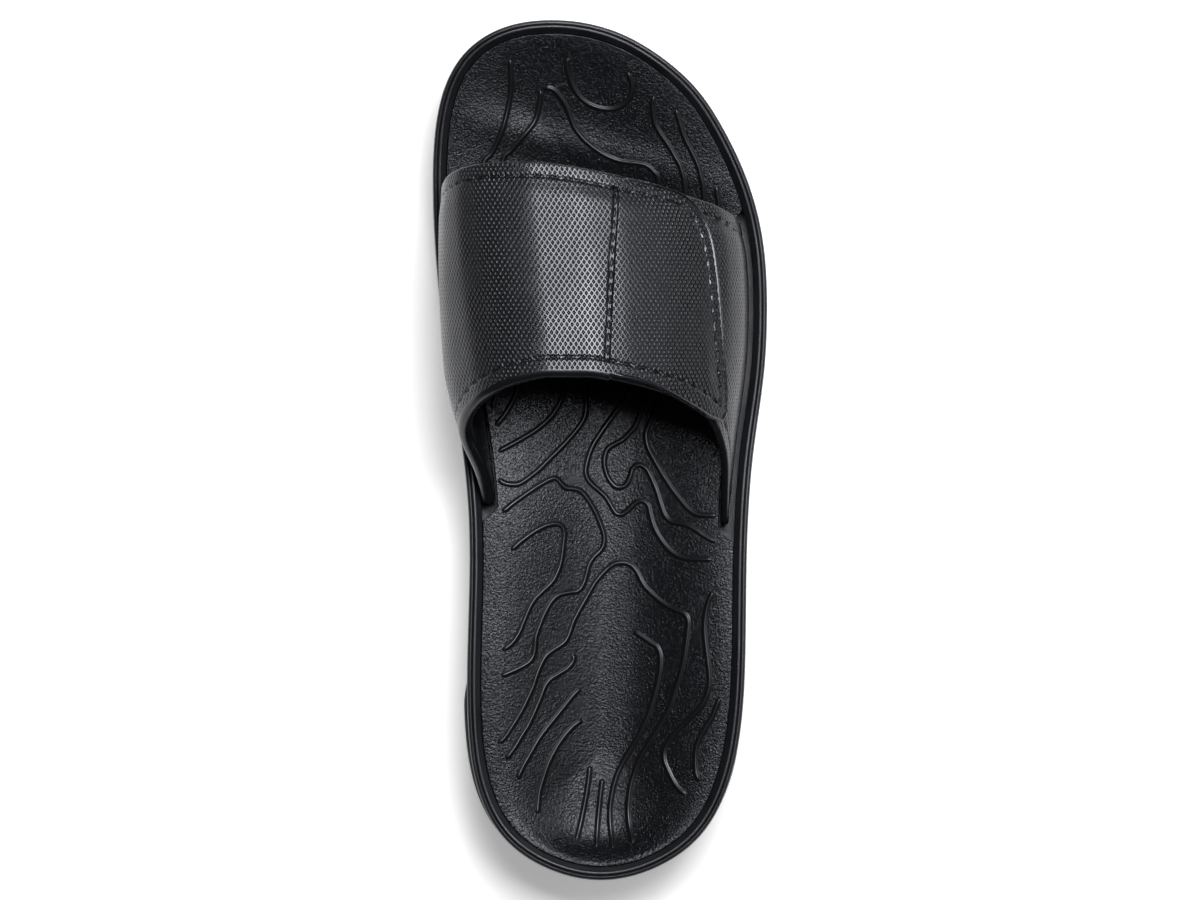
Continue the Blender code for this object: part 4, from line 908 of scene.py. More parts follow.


# The footbed's raised contour lines, charted on the photograph's top view. Where the
# strap hides them they run on beneath it.
CONTOURS = (
    ((695, 58), (696, 80), (694, 100), (687, 128), (677, 150), (667, 165), (661, 220), (664, 300),
     (678, 360), (681, 387), (677, 407)),
    ((725, 88), (725, 96), (720, 118), (708, 134), (696, 148), (687, 161), (680, 220), (688, 300),
     (702, 350), (703, 381), (698, 398), (688, 415), (680, 424)),
    ((729, 87), (734, 86), (740, 89), (746, 96), (751, 104), (755, 114), (760, 126), (768, 136),
     (778, 145), (790, 153), (802, 158), (812, 160), (822, 161), (831, 163), (838, 169),
     (843, 180), (842, 230), (828, 300), (820, 360), (814, 392), (801, 410), (788, 428),
     (777, 446), (771, 466), (772, 476), (777, 483), (784, 489), (791, 496), (797, 506),
     (801, 512), (807, 513), (814, 508), (820, 502), (827, 499.5), (833, 504), (835, 512),
     (839, 526), (847, 540), (856, 550), (866, 556), (880, 558), (897, 558)),
    ((753, 56), (752, 62), (753, 70), (756, 80), (761, 90), (768, 98), (778, 104), (790, 107),
     (800, 106.5), (809, 102), (815, 95), (817, 86), (815.5, 78), (813, 70)),
    ((839, 94), (837.5, 102), (838.5, 114), (841, 124), (847, 134), (854, 144), (861, 156),
     (866, 166), (870, 190), (866, 250), (846, 330), (832, 380), (828, 402), (822, 421),
     (816, 430), (808, 438), (799, 443), (793, 447), (790, 454), (789.5, 464), (793, 476),
     (799, 484), (805, 486), (811, 483.5), (815, 476), (818, 467), (824, 463.5), (831, 467),
     (836, 476), (841, 488), (848, 510), (853, 518), (860, 521.5), (870, 523), (880, 528),
     (890, 535), (901, 540.5)),
    ((861, 107), (864, 118), (869, 134), (876, 148), (881, 158), (885, 170), (889, 198),
     (884, 260), (862, 340), (846, 390), (840, 410), (832, 428), (831, 436), (833, 446),
     (839, 458), (847, 472), (856, 486), (865, 498), (874, 508), (881, 512.5), (890, 514),
     (902, 514)),
    ((901.5, 184), (902.5, 192), (904, 206), (902, 240)),
    ((683, 450), (698, 442), (712, 434), (724, 426), (734, 417), (741, 408), (746, 398),
     (748, 388), (747, 340), (750, 300), (758, 290), (766, 300), (769, 340), (770, 392),
     (771, 402), (770, 414), (765, 424), (757, 434), (746, 446), (734, 458), (724, 468),
     (714, 476), (705, 482), (696, 483), (688, 481), (683, 477)),
    ((687, 511), (698, 502), (712, 492), (724, 484), (736, 477.5), (742, 477.5), (746, 482),
     (751, 486.5), (759, 487.5), (766, 490), (773, 498), (778, 506), (782, 514), (786, 524),
     (789, 534), (789, 542), (786, 549), (779, 556), (774, 564), (771.5, 574), (768, 584),
     (763, 590), (754, 591.5), (744, 594), (737, 600), (730, 612), (725, 624), (721, 636),
     (720, 648), (718, 656), (713, 662), (702, 668), (686, 675)),
    ((696, 549), (706, 540), (720, 530), (732, 524), (741, 522.5), (747, 525), (749.5, 532),
     (748.5, 544), (747, 556), (744, 568), (738, 580), (728, 590), (720, 598), (714, 608),
     (709, 620), (704, 632), (697, 642), (688, 649)),
    ((683, 742), (690, 736), (698, 724), (706, 711), (712, 699), (718, 686), (722, 674),
     (727, 662), (732, 654), (740, 648), (749, 642), (754, 634), (758, 622), (764, 610),
     (772, 596), (780, 582), (790, 570), (799, 563), (807, 561.5), (814, 563), (820, 568),
     (824, 575), (828, 583), (834, 590), (844, 599), (854, 606), (864, 610), (870, 613),
     (873, 620), (872, 634), (870, 650), (867, 666), (862, 684), (857, 700), (852, 712),
     (844, 726), (837, 738), (829, 750), (823, 762), (818, 776), (815, 788), (813.5, 800),
     (813, 812), (814, 824), (816, 834), (818, 842)),
    ((819, 630), (826, 635), (836, 642), (842, 646), (845, 654), (845, 666), (843, 678),
     (840, 692), (834, 712), (828, 726), (822, 738), (816, 748), (809, 760), (803, 772),
     (799, 784), (796.5, 796), (795, 808), (795, 820), (796, 832), (798, 847)),
    ((759, 653), (758, 661), (752, 668), (744, 673), (735, 679), (730, 686), (726, 696),
     (721, 708), (714, 723), (706, 736), (700, 746), (691, 758)),
    ((766, 687), (758, 695), (750, 705), (742, 715), (733, 726), (724, 738), (717, 750),
     (710, 762), (705, 772), (703, 778)),
    ((767, 719), (758, 726), (749, 736), (741, 748), (734, 762), (729, 776), (725, 790),
     (723.5, 802), (722.5, 813)),
    ((775, 765), (773.5, 780), (771, 796), (768, 812), (764.5, 828), (761.5, 839)),
    ((787.5, 778), (786, 790), (784.5, 804), (783, 820), (782, 834), (781.5, 846)),
    ((898, 590), (893, 602), (890, 616), (889.5, 630), (891, 646), (893, 662), (894.5, 678),
     (893, 690), (888, 702), (880, 712), (872, 720), (862, 730), (854, 740), (849, 750),
     (849, 760), (853, 770), (858, 780), (864, 788), (871, 793.5)),
    ((905, 696), (901, 706), (898, 714), (892, 724), (885, 736), (881, 748), (880, 760),
     (881, 772), (884, 780)),
)
BEAD_SECTION = (
    # across, height: plain margins, steep flanks and a flat crown
    (-1.30, -0.30), (-1.05, 0.03), (-0.66, 0.04), (-0.54, 0.16), (-0.34, 0.36), (0.0, 0.42),
    (0.34, 0.36), (0.54, 0.16), (0.66, 0.04), (1.05, 0.03), (1.30, -0.30),
)
BEAD_SPACING = 0.8 * MM
BEAD_FADE = 0.9 * MM


def make_contours(material):
    """Flat-topped beads on the footbed with plain margins, faded out at both ends."""
    beads = Shell("footbed_lines")
    across, rise = column(BEAD_SECTION, 0) * MM, column(BEAD_SECTION, 1) * MM
    for pixels in CONTOURS:
        line = smooth_line(from_photo(pixels), BEAD_SPACING)
        along = np.gradient(line, axis=0)
        along /= np.linalg.norm(along, axis=1)[:, None]
        side = np.column_stack([-along[:, 1], along[:, 0]])
        run = np.arange(len(line)) * BEAD_SPACING
        fade = np.sqrt(np.clip(np.minimum(run, run[::-1]) / BEAD_FADE, 0.02, 1))
        flat = line[:, None] + side[:, None] * across[:, None] * fade[:, None, None]
        lift = np.where(rise > 0, rise * fade[:, None], rise)
        top = np.dstack([flat, cup_height(flat[..., 0], flat[..., 1]) + lift])
        base = top[:, [-1, 0]] - np.array((0, 0, 0.2 * MM))
        numbers = beads.add(np.concatenate([top, base], 1))
        beads.skin(numbers, around=True)
        beads.cap(numbers[0])
        beads.cap(numbers[-1], flip=True)
    return beads.build(material, "footbed", sharp=70)


# The tread


# Fine ridges: how far in, half width and height, in millimetres
BORDER_LINE = (1.5, 0.30, 0.35)
BAND_LINE = (4.6, 0.35, 0.40)
PAD_LINE = (1.1, 0.28, 0.45)
# A well's depth by the share of its radius
WELL_SECTION = (0, 0.5, 0.80, 0.9, 1.0), (1, 1, 0.82, 0.6, 0.3)


def line_y(along, x):
    return along - TREAD_TILT * x


def away_from(toe, heel, x, y):
    """How far places are from the line between the middles of a slot's ends."""
    run = (heel[0] - toe[0], heel[1] - toe[1])
    t = ((x - toe[0]) * run[0] + (y - toe[1]) * run[1]) / (run[0] ** 2 + run[1] ** 2)
    t = np.clip(t, 0, 1)
    return np.hypot(x - toe[0] - t * run[0], y - toe[1] - t * run[1])


def well_ends(well):
    toe = (well[0] * BALL_WIDTH, well[1] * LENGTH)
    heel = (well[2] * BALL_WIDTH, well[3] * LENGTH)
    return toe, heel, well[4] * BALL_WIDTH


def rib_places():
    """The along value of every rib groove, and the well that it stops beside."""
    for i in range(HEEL_RIBS):
        yield (HEEL_RIB_FIRST - i * HEEL_RIB_PITCH) * LENGTH, i < HEEL_RIBS_BY_WELL and WELLS[2]
    for i in range(TOE_RIBS):
        yield (TOE_RIB_FIRST + i * TOE_RIB_PITCH) * LENGTH, i == 0 and WELLS[0]


def bottom_at(travel):
    """The tread's edge, at distances round the rim."""
    rim, out = rim_at(travel)
    return rim - out * (wall_inset(rim) - lip_out(rim))[:, None]


class Tread:
    """The tread's outline and its depth over the sole, with soft edges where it steps."""

    def __init__(self):
        self.bottom = bottom_at(np.linspace(0, AROUND, 1440, endpoint=False))
        self.level = self.bottom[:, 1] + TREAD_TILT * self.bottom[:, 0]

    def row_ends(self, along):
        """Where tilted lines cross the sole's edge, as travel round the rim: inner, outer."""
        level = self.level
        toe, heel = int(level.argmax()), int(level.argmin())
        n = len(level)
        outer = np.arange(toe, heel + 1 if heel > toe else heel + n + 1)
        inner = np.arange(heel, toe + 1 if toe > heel else toe + n + 1)
        step = AROUND / n
        right = np.interp(along, level[outer % n][::-1], (outer * step)[::-1])
        left = np.interp(along, level[inner % n], inner * step)
        return left, right

    def depth(self, x, y, edge):
        """How deep the tread is at places; edge is how far they are from the sole's edge."""
        soft = 0.35 * MM
        deep, stipple, brick = np.zeros((3, *x.shape))

        def carve(mask, value, plain=()):
            """Sinks the mask's place to a depth and takes the named surfaces off it."""
            nonlocal deep, stipple, brick
            deep = deep * (1 - mask) + value * mask
            if "stipple" in plain:
                stipple = stipple * (1 - mask)
            if "brick" in plain:
                brick = brick * (1 - mask)

        def strip(along, half, wall=soft):
            gap = np.abs(y - line_y(along, x)) / math.hypot(1, TREAD_TILT)
            return 1 - soft_step(half - wall, half, gap), gap

        def slot(toe, heel, radius, wall=soft):
            return 1 - soft_step(radius - wall, radius, away_from(toe, heel, x, y))

        def notches(width, wall, value, plain=()):
            for share in TROUGHS:
                for outer in (True, False):
                    inner, beyond = self.notch(share * LENGTH, outer)
                    carve(slot(inner, beyond, width / 2, wall), value, plain)

        def ridge(distance, line):
            place, width, height = line
            return height * MM * np.exp(-(((distance - place * MM) / (width * MM)) ** 2))

        border = 1 - soft_step(TREAD_BORDER - soft, TREAD_BORDER, edge)
        carve(border, TREAD_STEP + ridge(edge, BORDER_LINE))
        for share in GROOVES:
            mask, gap = strip(share * LENGTH, BAND_HALF)
            carve(mask, BAND_DEPTH - ridge(gap, BAND_LINE))
            stipple = np.maximum(stipple, mask)
        for pad in PADS:
            toe, heel = pad[0] * LENGTH, pad[1] * LENGTH
            share = np.clip((toe - y - TREAD_TILT * x) / (toe - heel), 0, 1)
            left = (pad[2] + (pad[4] - pad[2]) * share) * BALL_WIDTH
            right = (pad[3] + (pad[5] - pad[3]) * share) * BALL_WIDTH
            mid, half = (toe + heel) / 2, (toe - heel) / 2
            gap_y = np.abs(y + TREAD_TILT * x - mid) - half
            gap_x = np.maximum(left - x, x - right)
            corner = (gap_x + gap_y + 1.6 * MM) / math.sqrt(2)
            inside = -np.maximum(np.maximum(gap_x, gap_y), corner)
            carve(soft_step(0, soft, inside), PAD_DEPTH - ridge(inside, PAD_LINE), ["stipple"])
            brick = np.maximum(brick, soft_step(1.5 * MM, 1.8 * MM, inside))
        both = ("stipple", "brick")
        for well in WELLS:
            toe, heel, radius = well_ends(well)
            carve(slot(toe, heel, radius + WELL_RING), RING_DEPTH, both)
        for share in TROUGHS:
            half = TROUGH_WIDTH / 2
            mask, gap = strip(share * LENGTH, half, 0.2 * MM)
            curve = TROUGH_DEPTH * np.cos(np.clip(gap / half, 0, 1) * math.pi / 2)
            carve(mask, 0, both)
            deep = np.where(gap < half, curve, deep)
        notches(NOTCH_WIDTH, 0.7 * MM, TROUGH_DEPTH + TREAD_STEP, ["stipple"])
        for share in GROOVES:
            carve(strip(share * LENGTH, GROOVE_WIDTH / 2)[0], GROOVE_DEPTH, ["stipple"])
        for along, well in rib_places():
            mask, _ = strip(along, RIB_GROOVE / 2, 0.3 * MM)
            if well:
                toe, heel, radius = well_ends(well)
                share = (along - toe[1]) / (heel[1] - toe[1])
                middle = toe[0] + (heel[0] - toe[0]) * share
                stop = radius + WELL_RING + RIB_STOP
                mask = mask * soft_step(stop, stop + soft, np.abs(x - middle))
            carve(mask, RIB_DEPTH)
        ends = (HEEL_RIB_FIRST + HEEL_RIB_PITCH / 2, TOE_RIB_FIRST - TOE_RIB_PITCH / 2)
        place = (y + TREAD_TILT * x) / LENGTH
        ribbed = np.maximum(soft_step(ends[0] + 0.002, ends[0], place),
                            soft_step(ends[1] - 0.002, ends[1], place))
        stipple = np.maximum(stipple, ribbed * (1 - border))
        for well in WELLS:
            toe, heel, radius = well_ends(well)
            gap = away_from(toe, heel, x, y) / radius
            levels = WELL_DEPTH * np.interp(gap, *WELL_SECTION)
            carve(1 - soft_step(1 - soft / radius, 1.0, gap), levels, ["stipple"])
        notches(NOTCH_SLOT, 0.4 * MM, NOTCH_DEPTH)
        return deep, stipple, brick

    def notch(self, along, outer):
        """The inner end of a trough's side notch and a place beyond the sole's edge."""
        way = 1 if outer else -1
        left, right = self.row_ends(np.array([along]))
        edge = float(bottom_at(right if outer else left)[0, 0])
        inner = edge - way * (NOTCH_REACH - NOTCH_WIDTH / 2)
        beyond = edge + way * NOTCH_REACH
        return (inner, line_y(along, inner)), (beyond, line_y(along, beyond))

    def rows(self):
        """Along values of the mesh's rows: even, and close together at every step."""
        low, high = self.level.min(), self.level.max()
        spots = list(np.linspace(low, high, TREAD_ROWS)[1:-1])
        lean = math.hypot(1, TREAD_TILT)

        def edges(middle, half, wall):
            for way in (-1, 1):
                for part in (0.0, 0.5, 1.0):
                    spots.append(middle + way * (half - wall * part) * lean)

        for share in GROOVES:
            edges(share * LENGTH, GROOVE_WIDTH / 2, 0.35 * MM)
            edges(share * LENGTH, BAND_HALF, 0.35 * MM)
            edges(share * LENGTH, 4.9 * MM, 0.6 * MM)
        for along, _ in rib_places():
            edges(along, RIB_GROOVE / 2, 0.3 * MM)
        spots = sorted(s for s in spots if low + 0.3 * MM < s < high - 0.3 * MM)
        kept = [low]
        for s in spots:
            if s - kept[-1] > 0.14 * MM:
                kept.append(s)
        return np.array(kept + [high])


def make_tread(material):
    """The tread unit: tread, side with its lip, and the core that keys it into the midsole."""
    tread = Tread()
    sole = Shell("tread")
    along = tread.rows()
    left, right = tread.row_ends(along)

    a, b = bottom_at(left), bottom_at(right)
    b[0], b[-1] = a[0], a[-1]
    width = np.linalg.norm(b - a, axis=1)
    marks = np.array((0.0, 0.2, 0.5, 0.9, 1.5, 2.2)) * MM
    marks = marks[None] * np.clip(width / (12 * MM), 0, 1)[:, None]
    share_in = marks / np.maximum(width, 1e-9)[:, None]
    inner = np.linspace(0, 1, TREAD_COLUMNS)[1:-1]
    middle = share_in[:, -1:] + (1 - 2 * share_in[:, -1:]) * inner
    share = np.hstack([share_in, middle, 1 - share_in[:, ::-1]])
    flat = a[:, None] * (1 - share)[..., None] + b[:, None] * share[..., None]
    x, y = flat[..., 0], flat[..., 1]
    edge = nearest(np.dstack([flat, np.zeros(x.shape)]), raised(tread.bottom, 0))
    deep, stipple, brick = tread.depth(x, y, edge)
    curl = 0.5 * MM * (1 - soft_step(0, 0.9 * MM, edge))
    z = ground(y) + deep + curl
    zone = np.dstack([stipple, brick, np.zeros(x.shape)])
    grid = sole.add(np.dstack([flat, z]), zone=zone)
    sole.skin(grid, flip=True)

    loop = np.concatenate([left, right[-2:0:-1]])
    ring = np.concatenate([grid[:, 0], grid[-2:0:-1, -1]])
    start = np.concatenate([z[:, 0], z[-2:0:-1, -1]])
    rim, out = rim_at(loop)
    wall = wall_inset(rim)
    lip = lip_out(rim)
    floor = ground(rim[:, 1])
    tall = OUTSOLE_SIDE - EDGE_CUT

    def at(distance, height):
        return raised(rim - out * np.asarray(distance)[:, None], height)

    def side(share):
        height = start + (floor + tall - start) * share
        climb = (height - floor) / tall
        return at(wall - lip - climb * wall * OUTSOLE_SIDE / HEEL_HEIGHT, height)

    upper = wall * (1 - OUTSOLE_SIDE / HEEL_HEIGHT)
    rings = [side(0.0), side(0.15), side(0.35), side(0.6), side(0.8), side(1.0),
             at(upper - lip + EDGE_CUT, floor + OUTSOLE_SIDE),
             at(upper + CORE_INSET, floor + OUTSOLE_SIDE),
             at(upper + CORE_INSET + 2 * SEAT_GAP, floor + OUTSOLE_CORE)]
    made = rounded(rings, (0, 0, 0, 0, 0, 0.6 * MM, 0.3 * MM, 0, 0))
    numbers = sole.add(made[1:])
    sole.skin(np.vstack([ring[None], numbers]), around=True)
    rows = len(along)
    top = numbers[-1]
    sole.skin(np.stack([top[1 : rows - 1], top[: rows - 1 : -1]], 1))
    for tip, one, two in ((top[0], top[1], top[-1]), (top[rows - 1], top[rows], top[rows - 2])):
        sole.faces.append(np.array([[tip, one, two, two]]))
    return sole.build(material, "outsole", "outsole")


# The strap


def cloth_place(place, y):
    """Where a place of the strap lies on its cloth, in millimetres."""
    u = np.interp(place, ARCH_PLACES, ARCH_RUN) / MM
    return np.stack([u, y / MM, np.zeros(np.shape(u))], axis=-1)


# Distances of the rows of stitches from the edges, and along a row, in millimetres
FRONT_STITCH = 5.0
REAR_STITCH = 6.5
END_STITCH = 4.4
STITCH_PITCH = 5.2
# The cloth's relief, in millimetres
PAD_RISE = 0.35
CHANNEL_SINK = 0.6
CHANNEL_HALF = 0.5
VALLEY_SINK = 0.75
LIP_RISE = 0.3
LIP_SINK = 0.2
FRONT_ROUND = 0.8 * MM


def edge_shares(near, fine, rest):
    """Shares from 0 to 1, closer together within near of both ends."""
    return np.concatenate([np.linspace(0, near, fine), np.linspace(near, 1 - near, rest)[1:-1],
                           np.linspace(1 - near, 1, fine)])


def cloth_relief(place, y, seam, from_end):
    """How far the cloth stands over the plain arch: a soft pad between the stitched channels,
    which are deepest under each stitch, and the seam's narrow valley. from_end is how far the
    flap's free end is, in millimetres. Also where the weave is pressed flat, from 0 to 1."""
    from_front, from_rear = (edge_y(place, False) - y) / MM, (y - edge_y(place, True)) / MM

    def within(distance, stitch, soft=0.6):
        return soft_step(stitch - soft, stitch, distance)

    def dip(distance, stitch, along):
        pull = 0.35 + 0.65 * np.cos(math.pi * along / STITCH_PITCH) ** 2
        return np.exp(-(((distance - stitch) / CHANNEL_HALF) ** 2)) * pull

    front, rear = within(from_front, FRONT_STITCH), within(from_rear, REAR_STITCH)
    end = within(from_end, END_STITCH)
    run, up = np.interp(place, ARCH_PLACES, ARCH_RUN) / MM, y / MM
    channel = np.maximum(np.maximum(dip(from_front, FRONT_STITCH, run) * rear,
                                    dip(from_rear, REAR_STITCH, run) * front) * end,
                         dip(from_end, END_STITCH, up) * front * rear)
    pad = (within(from_front, 11.0, 6.0) * within(from_rear, 13.0, 6.5)
           * within(from_end, 10.0, 5.6))
    valley = (1 - soft_step(0.9, 1.5, np.abs(seam))) * front * rear
    relief = (PAD_RISE * pad - CHANNEL_SINK * channel - VALLEY_SINK * valley) * MM
    return relief, soft_step(0.25, 0.6, np.maximum(channel, valley))


def make_strap(material):
    """The upper: one wall from root to root, thinner where the flap lies on it."""
    strap = Shell("strap_band")
    shares = edge_shares(0.13, 28, 58)
    count = len(shares)
    seam_line = seam_place(shares)
    places = np.linspace(0, 1, STRAP_ROWS)
    before, after = places[places < 0.56], places[places > 0.71]
    near = ease(np.linspace(0, 1, 23)[1:])
    rows = [np.full(count, p) for p in before]
    rows += [before[-1] + (seam_line - before[-1]) * t for t in near]
    rows += [after[0] + (seam_line - after[0]) * t for t in near[-2::-1]]
    rows += [np.full(count, p) for p in after]
    place = np.array(rows)
    half = BAND_WALL / 2
    front = edge_y(place[:, :1], False)
    rear = edge_y(place[:, -1:], True)
    share = np.broadcast_to(shares, place.shape)
    y = front - FRONT_ROUND + (rear + half - front + FRONT_ROUND) * share
    face, normal = arch_point(place, y), arch_normal(place, y)
    seam = (place - seam_place(share)) / SEAM_STEP
    relief, pressed = cloth_relief(place, y, seam, np.full(y.shape, 99.0))
    relief -= soft_step(1.6, 2.2, seam) * (BAND_WALL - UNDER_WALL)
    outer = face + normal * relief[..., None]
    inner_cut = np.linspace(0, count - 1, 41).round().astype(int)
    inner = (face - normal * BAND_WALL)[:, inner_cut]

    def edge_arc(index, other, corner, steps=4):
        """Points round the wall's edge, from its outer face to its inner one."""
        p, n = outer[:, index], normal[:, index]
        q = face[:, index] - n * BAND_WALL
        away = face[:, index] - face[:, other]
        away -= n * (away * n).sum(-1)[:, None]
        away /= np.linalg.norm(away, axis=-1)[:, None]
        mid, tall = (p + q) / 2, np.linalg.norm(p - q, axis=-1)[:, None] / 2
        turn = np.minimum(corner, tall)
        turns = np.linspace(0, math.pi / 2, steps + 1)[1:]
        spots = [(1, t) for t in turns] + [(-1, t) for t in turns[-2::-1]]
        return np.stack([mid + n * way * (tall - turn + turn * math.cos(t))
                         + away * turn * math.sin(t) for way, t in spots], 1)

    rear_arc = edge_arc(-1, -3, half)
    front_arc = edge_arc(0, 2, FRONT_ROUND)[:, ::-1]
    woven = cloth_place(place, y)
    plain = 1.4 * (1 - soft_step(0.1, 0.35, place))
    margin = 1 - soft_step(0.0, 0.4, (y - rear - half) / MM - plain)
    parts = [
        # points, places on the cloth, where the lining shows
        (outer, woven, np.maximum(pressed, margin)),
        (rear_arc, np.repeat(woven[:, -1:], rear_arc.shape[1], 1), np.ones(rear_arc.shape[:2])),
        (inner[:, ::-1], woven[:, inner_cut][:, ::-1], np.ones(inner.shape[:2])),
        (front_arc, np.repeat(woven[:, :1], front_arc.shape[1], 1), np.ones(front_arc.shape[:2])),
    ]
    loop, cloth, smooth = (np.concatenate([part[k] for part in parts], 1) for k in range(3))
    ends = loop[[0, -1]]
    ends[..., 2] = tub_floor(ends[..., 1]) + SEAT_GAP
    loop = np.concatenate([ends[:1], loop, ends[1:]])
    cloth, smooth = (np.concatenate([v[:1], v, v[-1:]]) for v in (cloth, smooth))
    numbers = strap.add(loop, cloth=cloth, lining=smooth)
    strap.skin(numbers, around=True)
    for ring, flip in ((numbers[0], True), (numbers[-1], False)):
        ordered = list(ring)
        corner = count + rear_arc.shape[1] // 2
        opposite = len(ordered) - front_arc.shape[1] // 2 - 1
        one = ordered[opposite:] + ordered[:corner + 1]
        two = ordered[corner:opposite + 1][::-1]
        zip_ends(strap, one, two, flip)
    return strap.build(material, "strap", "strap", sharp=60)


def ease(t):
    return t * (2 - t)


def zip_ends(shell, one, two, flip):
    """Closes the gap between two lines of points that share their ends, with triangles."""
    i, j = 0, 0
    made = []
    while i < len(one) - 1 or j < len(two) - 1:
        if j == len(two) - 1 or (i < len(one) - 1 and (i + 1) / len(one) <= (j + 1) / len(two)):
            made.append((one[i], one[i + 1], two[j], two[j]))
            i += 1
        else:
            made.append((one[i], two[j + 1], two[j], two[j]))
            j += 1
    faces = np.array([f for f in made if len(set(f)) > 2])
    shell.faces.append(faces[:, ::-1] if flip else faces)


def flap_frame(shares, across):
    """Places and y over the flap, at shares from its front to its rear and from the seam to
    its free end."""
    start = seam_place(shares) - 0.6 * SEAM_STEP
    end = table_curve(FLAP_END, 1, shares)
    place = start[:, None] + (end - start)[:, None] * across[None]
    front = edge_y(place, False) - FLAP_FRONT_MARGIN
    rear = edge_y(place, True) + FLAP_REAR_MARGIN - FLAP_OVERHANG * soft_step(0.68, 0.80, place)
    return place, front + (rear - front) * shares[:, None]


def make_flap(material):
    """The closing flap: soft over its length, with a rounded edge round its free sides."""
    flap = Shell("flap")
    shares = edge_shares(0.13, 28, 60)
    across = np.concatenate([np.linspace(0, 0.035, 12),
                             np.linspace(0.035, 0.84, FLAP_COLUMNS)[1:-1],
                             np.linspace(0.84, 1, 30)])
    place, y = flap_frame(shares, across)
    face, normal = arch_point(place, y), arch_normal(place, y)
    rim = np.concatenate([face[0, :], face[1:, -1], face[-1, -2::-1]])
    away = nearest(face, smooth_line(rim, 0.5 * MM)) / MM
    from_end = nearest(face, smooth_line(face[:, -1], 0.5 * MM)) / MM
    seam = (place - seam_place(shares)[:, None]) / SEAM_STEP
    round_ = 0.62 * (1 - np.sqrt(np.clip(1 - (1 - np.clip(away / 0.8, 0, 1)) ** 2, 0, 1)))
    relief, pressed = cloth_relief(place, y, seam, from_end)
    lip = LIP_RISE * np.exp(-(((away - 0.5) / 0.32) ** 2))
    lip -= LIP_SINK * np.exp(-(((away - 1.4) / 0.4) ** 2))
    free = soft_step(3.0, 8.0, seam)
    relief += (lip * free - round_ - 0.03) * MM
    outer = face + normal * relief[..., None]
    under = BAND_WALL - UNDER_WALL - 0.12 * MM
    inner = face - normal * under
    cloth = cloth_place(place, y)
    lining = np.maximum(pressed, 1 - soft_step(1.0, 1.5, away))
    top = flap.add(outer, cloth=cloth, lining=lining)
    low = flap.add(inner, cloth=cloth, lining=1.0)
    flap.skin(top)
    flap.skin(low, flip=True)
    edge_top = np.concatenate([top[0, :-1], top[:-1, -1], top[-1, :0:-1], top[:0:-1, 0]])
    edge_low = np.concatenate([low[0, :-1], low[:-1, -1], low[-1, :0:-1], low[:0:-1, 0]])
    flap.skin(np.stack([edge_low, edge_top]), around=True)
    return flap.build(material, "strap_flap", "strap_flap", sharp=75)


# Stitches


STITCH_RADIUS = 0.26 * MM
STITCH_DEPTH = 0.5 * MM
CHAIN_PITCH = 4.2
CHAIN_RADIUS = 0.58 * MM
CHAIN_DEPTH = 0.5 * MM
FLAP_STITCH = (
    # the flap's rows of stitches, in the photograph's pixels: front, round the end, rear
    ((837, 196), (857, 202)),
    ((857, 202), (870, 210), (880, 223), (886, 246), (890, 263), (893, 281), (894, 299),
     (897, 311), (899, 340), (901, 369), (901, 390)),
    ((887, 391), (866, 379)),
)
UNDER_STITCH = ((893, 212), (909, 219), (920, 224), (930, 232))
ROOT_STITCH = (0.965, 0.071, 0.006)


def on_band(pixels):
    """Places and y on the band's crown and outer side under a line of the photograph's
    pixels, as the camera sees them."""
    places = np.linspace(0.3, 1.0, 700)
    found = []
    for seen_x, seen_y in from_photo(smooth_line(pixels, 2.0)):
        y = seen_y
        for _ in range(5):
            face = arch_point(places, y)
            nearer = 1 - (face[:, 2] - HEEL_HEIGHT) / CAMERA_DISTANCE
            place = np.interp(seen_x, face[:, 0] / nearer, places)
            y = seen_y * np.interp(place, places, nearer)
        found.append((place, y))
    return np.array(found).T


def sew(shell, place, y, along, pitch=STITCH_PITCH, depth=STITCH_DEPTH,
        radius=STITCH_RADIUS, fill=0.76, squash=1.0):
    """Stitches on a line of places and y of the band, where along, in millimetres, is a whole
    number of pitches, at a depth under the band's plain face."""
    order = np.argsort(along)
    along, place, y = along[order], place[order], y[order]
    middles = np.arange(math.ceil(along[0] / pitch + 0.4), along[-1] / pitch - 0.4) * pitch

    def at(s):
        p, q = np.interp(s, along, place), np.interp(s, along, y)
        n = arch_normal(p, q)
        return arch_point(p, q) - n * depth, n

    start, _ = at(middles - pitch * fill / 2)
    end, _ = at(middles + pitch * fill / 2)
    _, up = at(middles)
    add_threads(shell, start, end, up, radius, squash)


def sew_across(shell, place, y, **how):
    sew(shell, place, y, np.interp(place, ARCH_PLACES, ARCH_RUN) / MM, **how)


def edge_row(low, high, rear):
    """Places and y of the stitched row along the band's rear or front edge."""
    place = np.linspace(low, high, 300)
    inset = REAR_STITCH * MM if rear else -FRONT_STITCH * MM
    return place, edge_y(place, rear) + inset


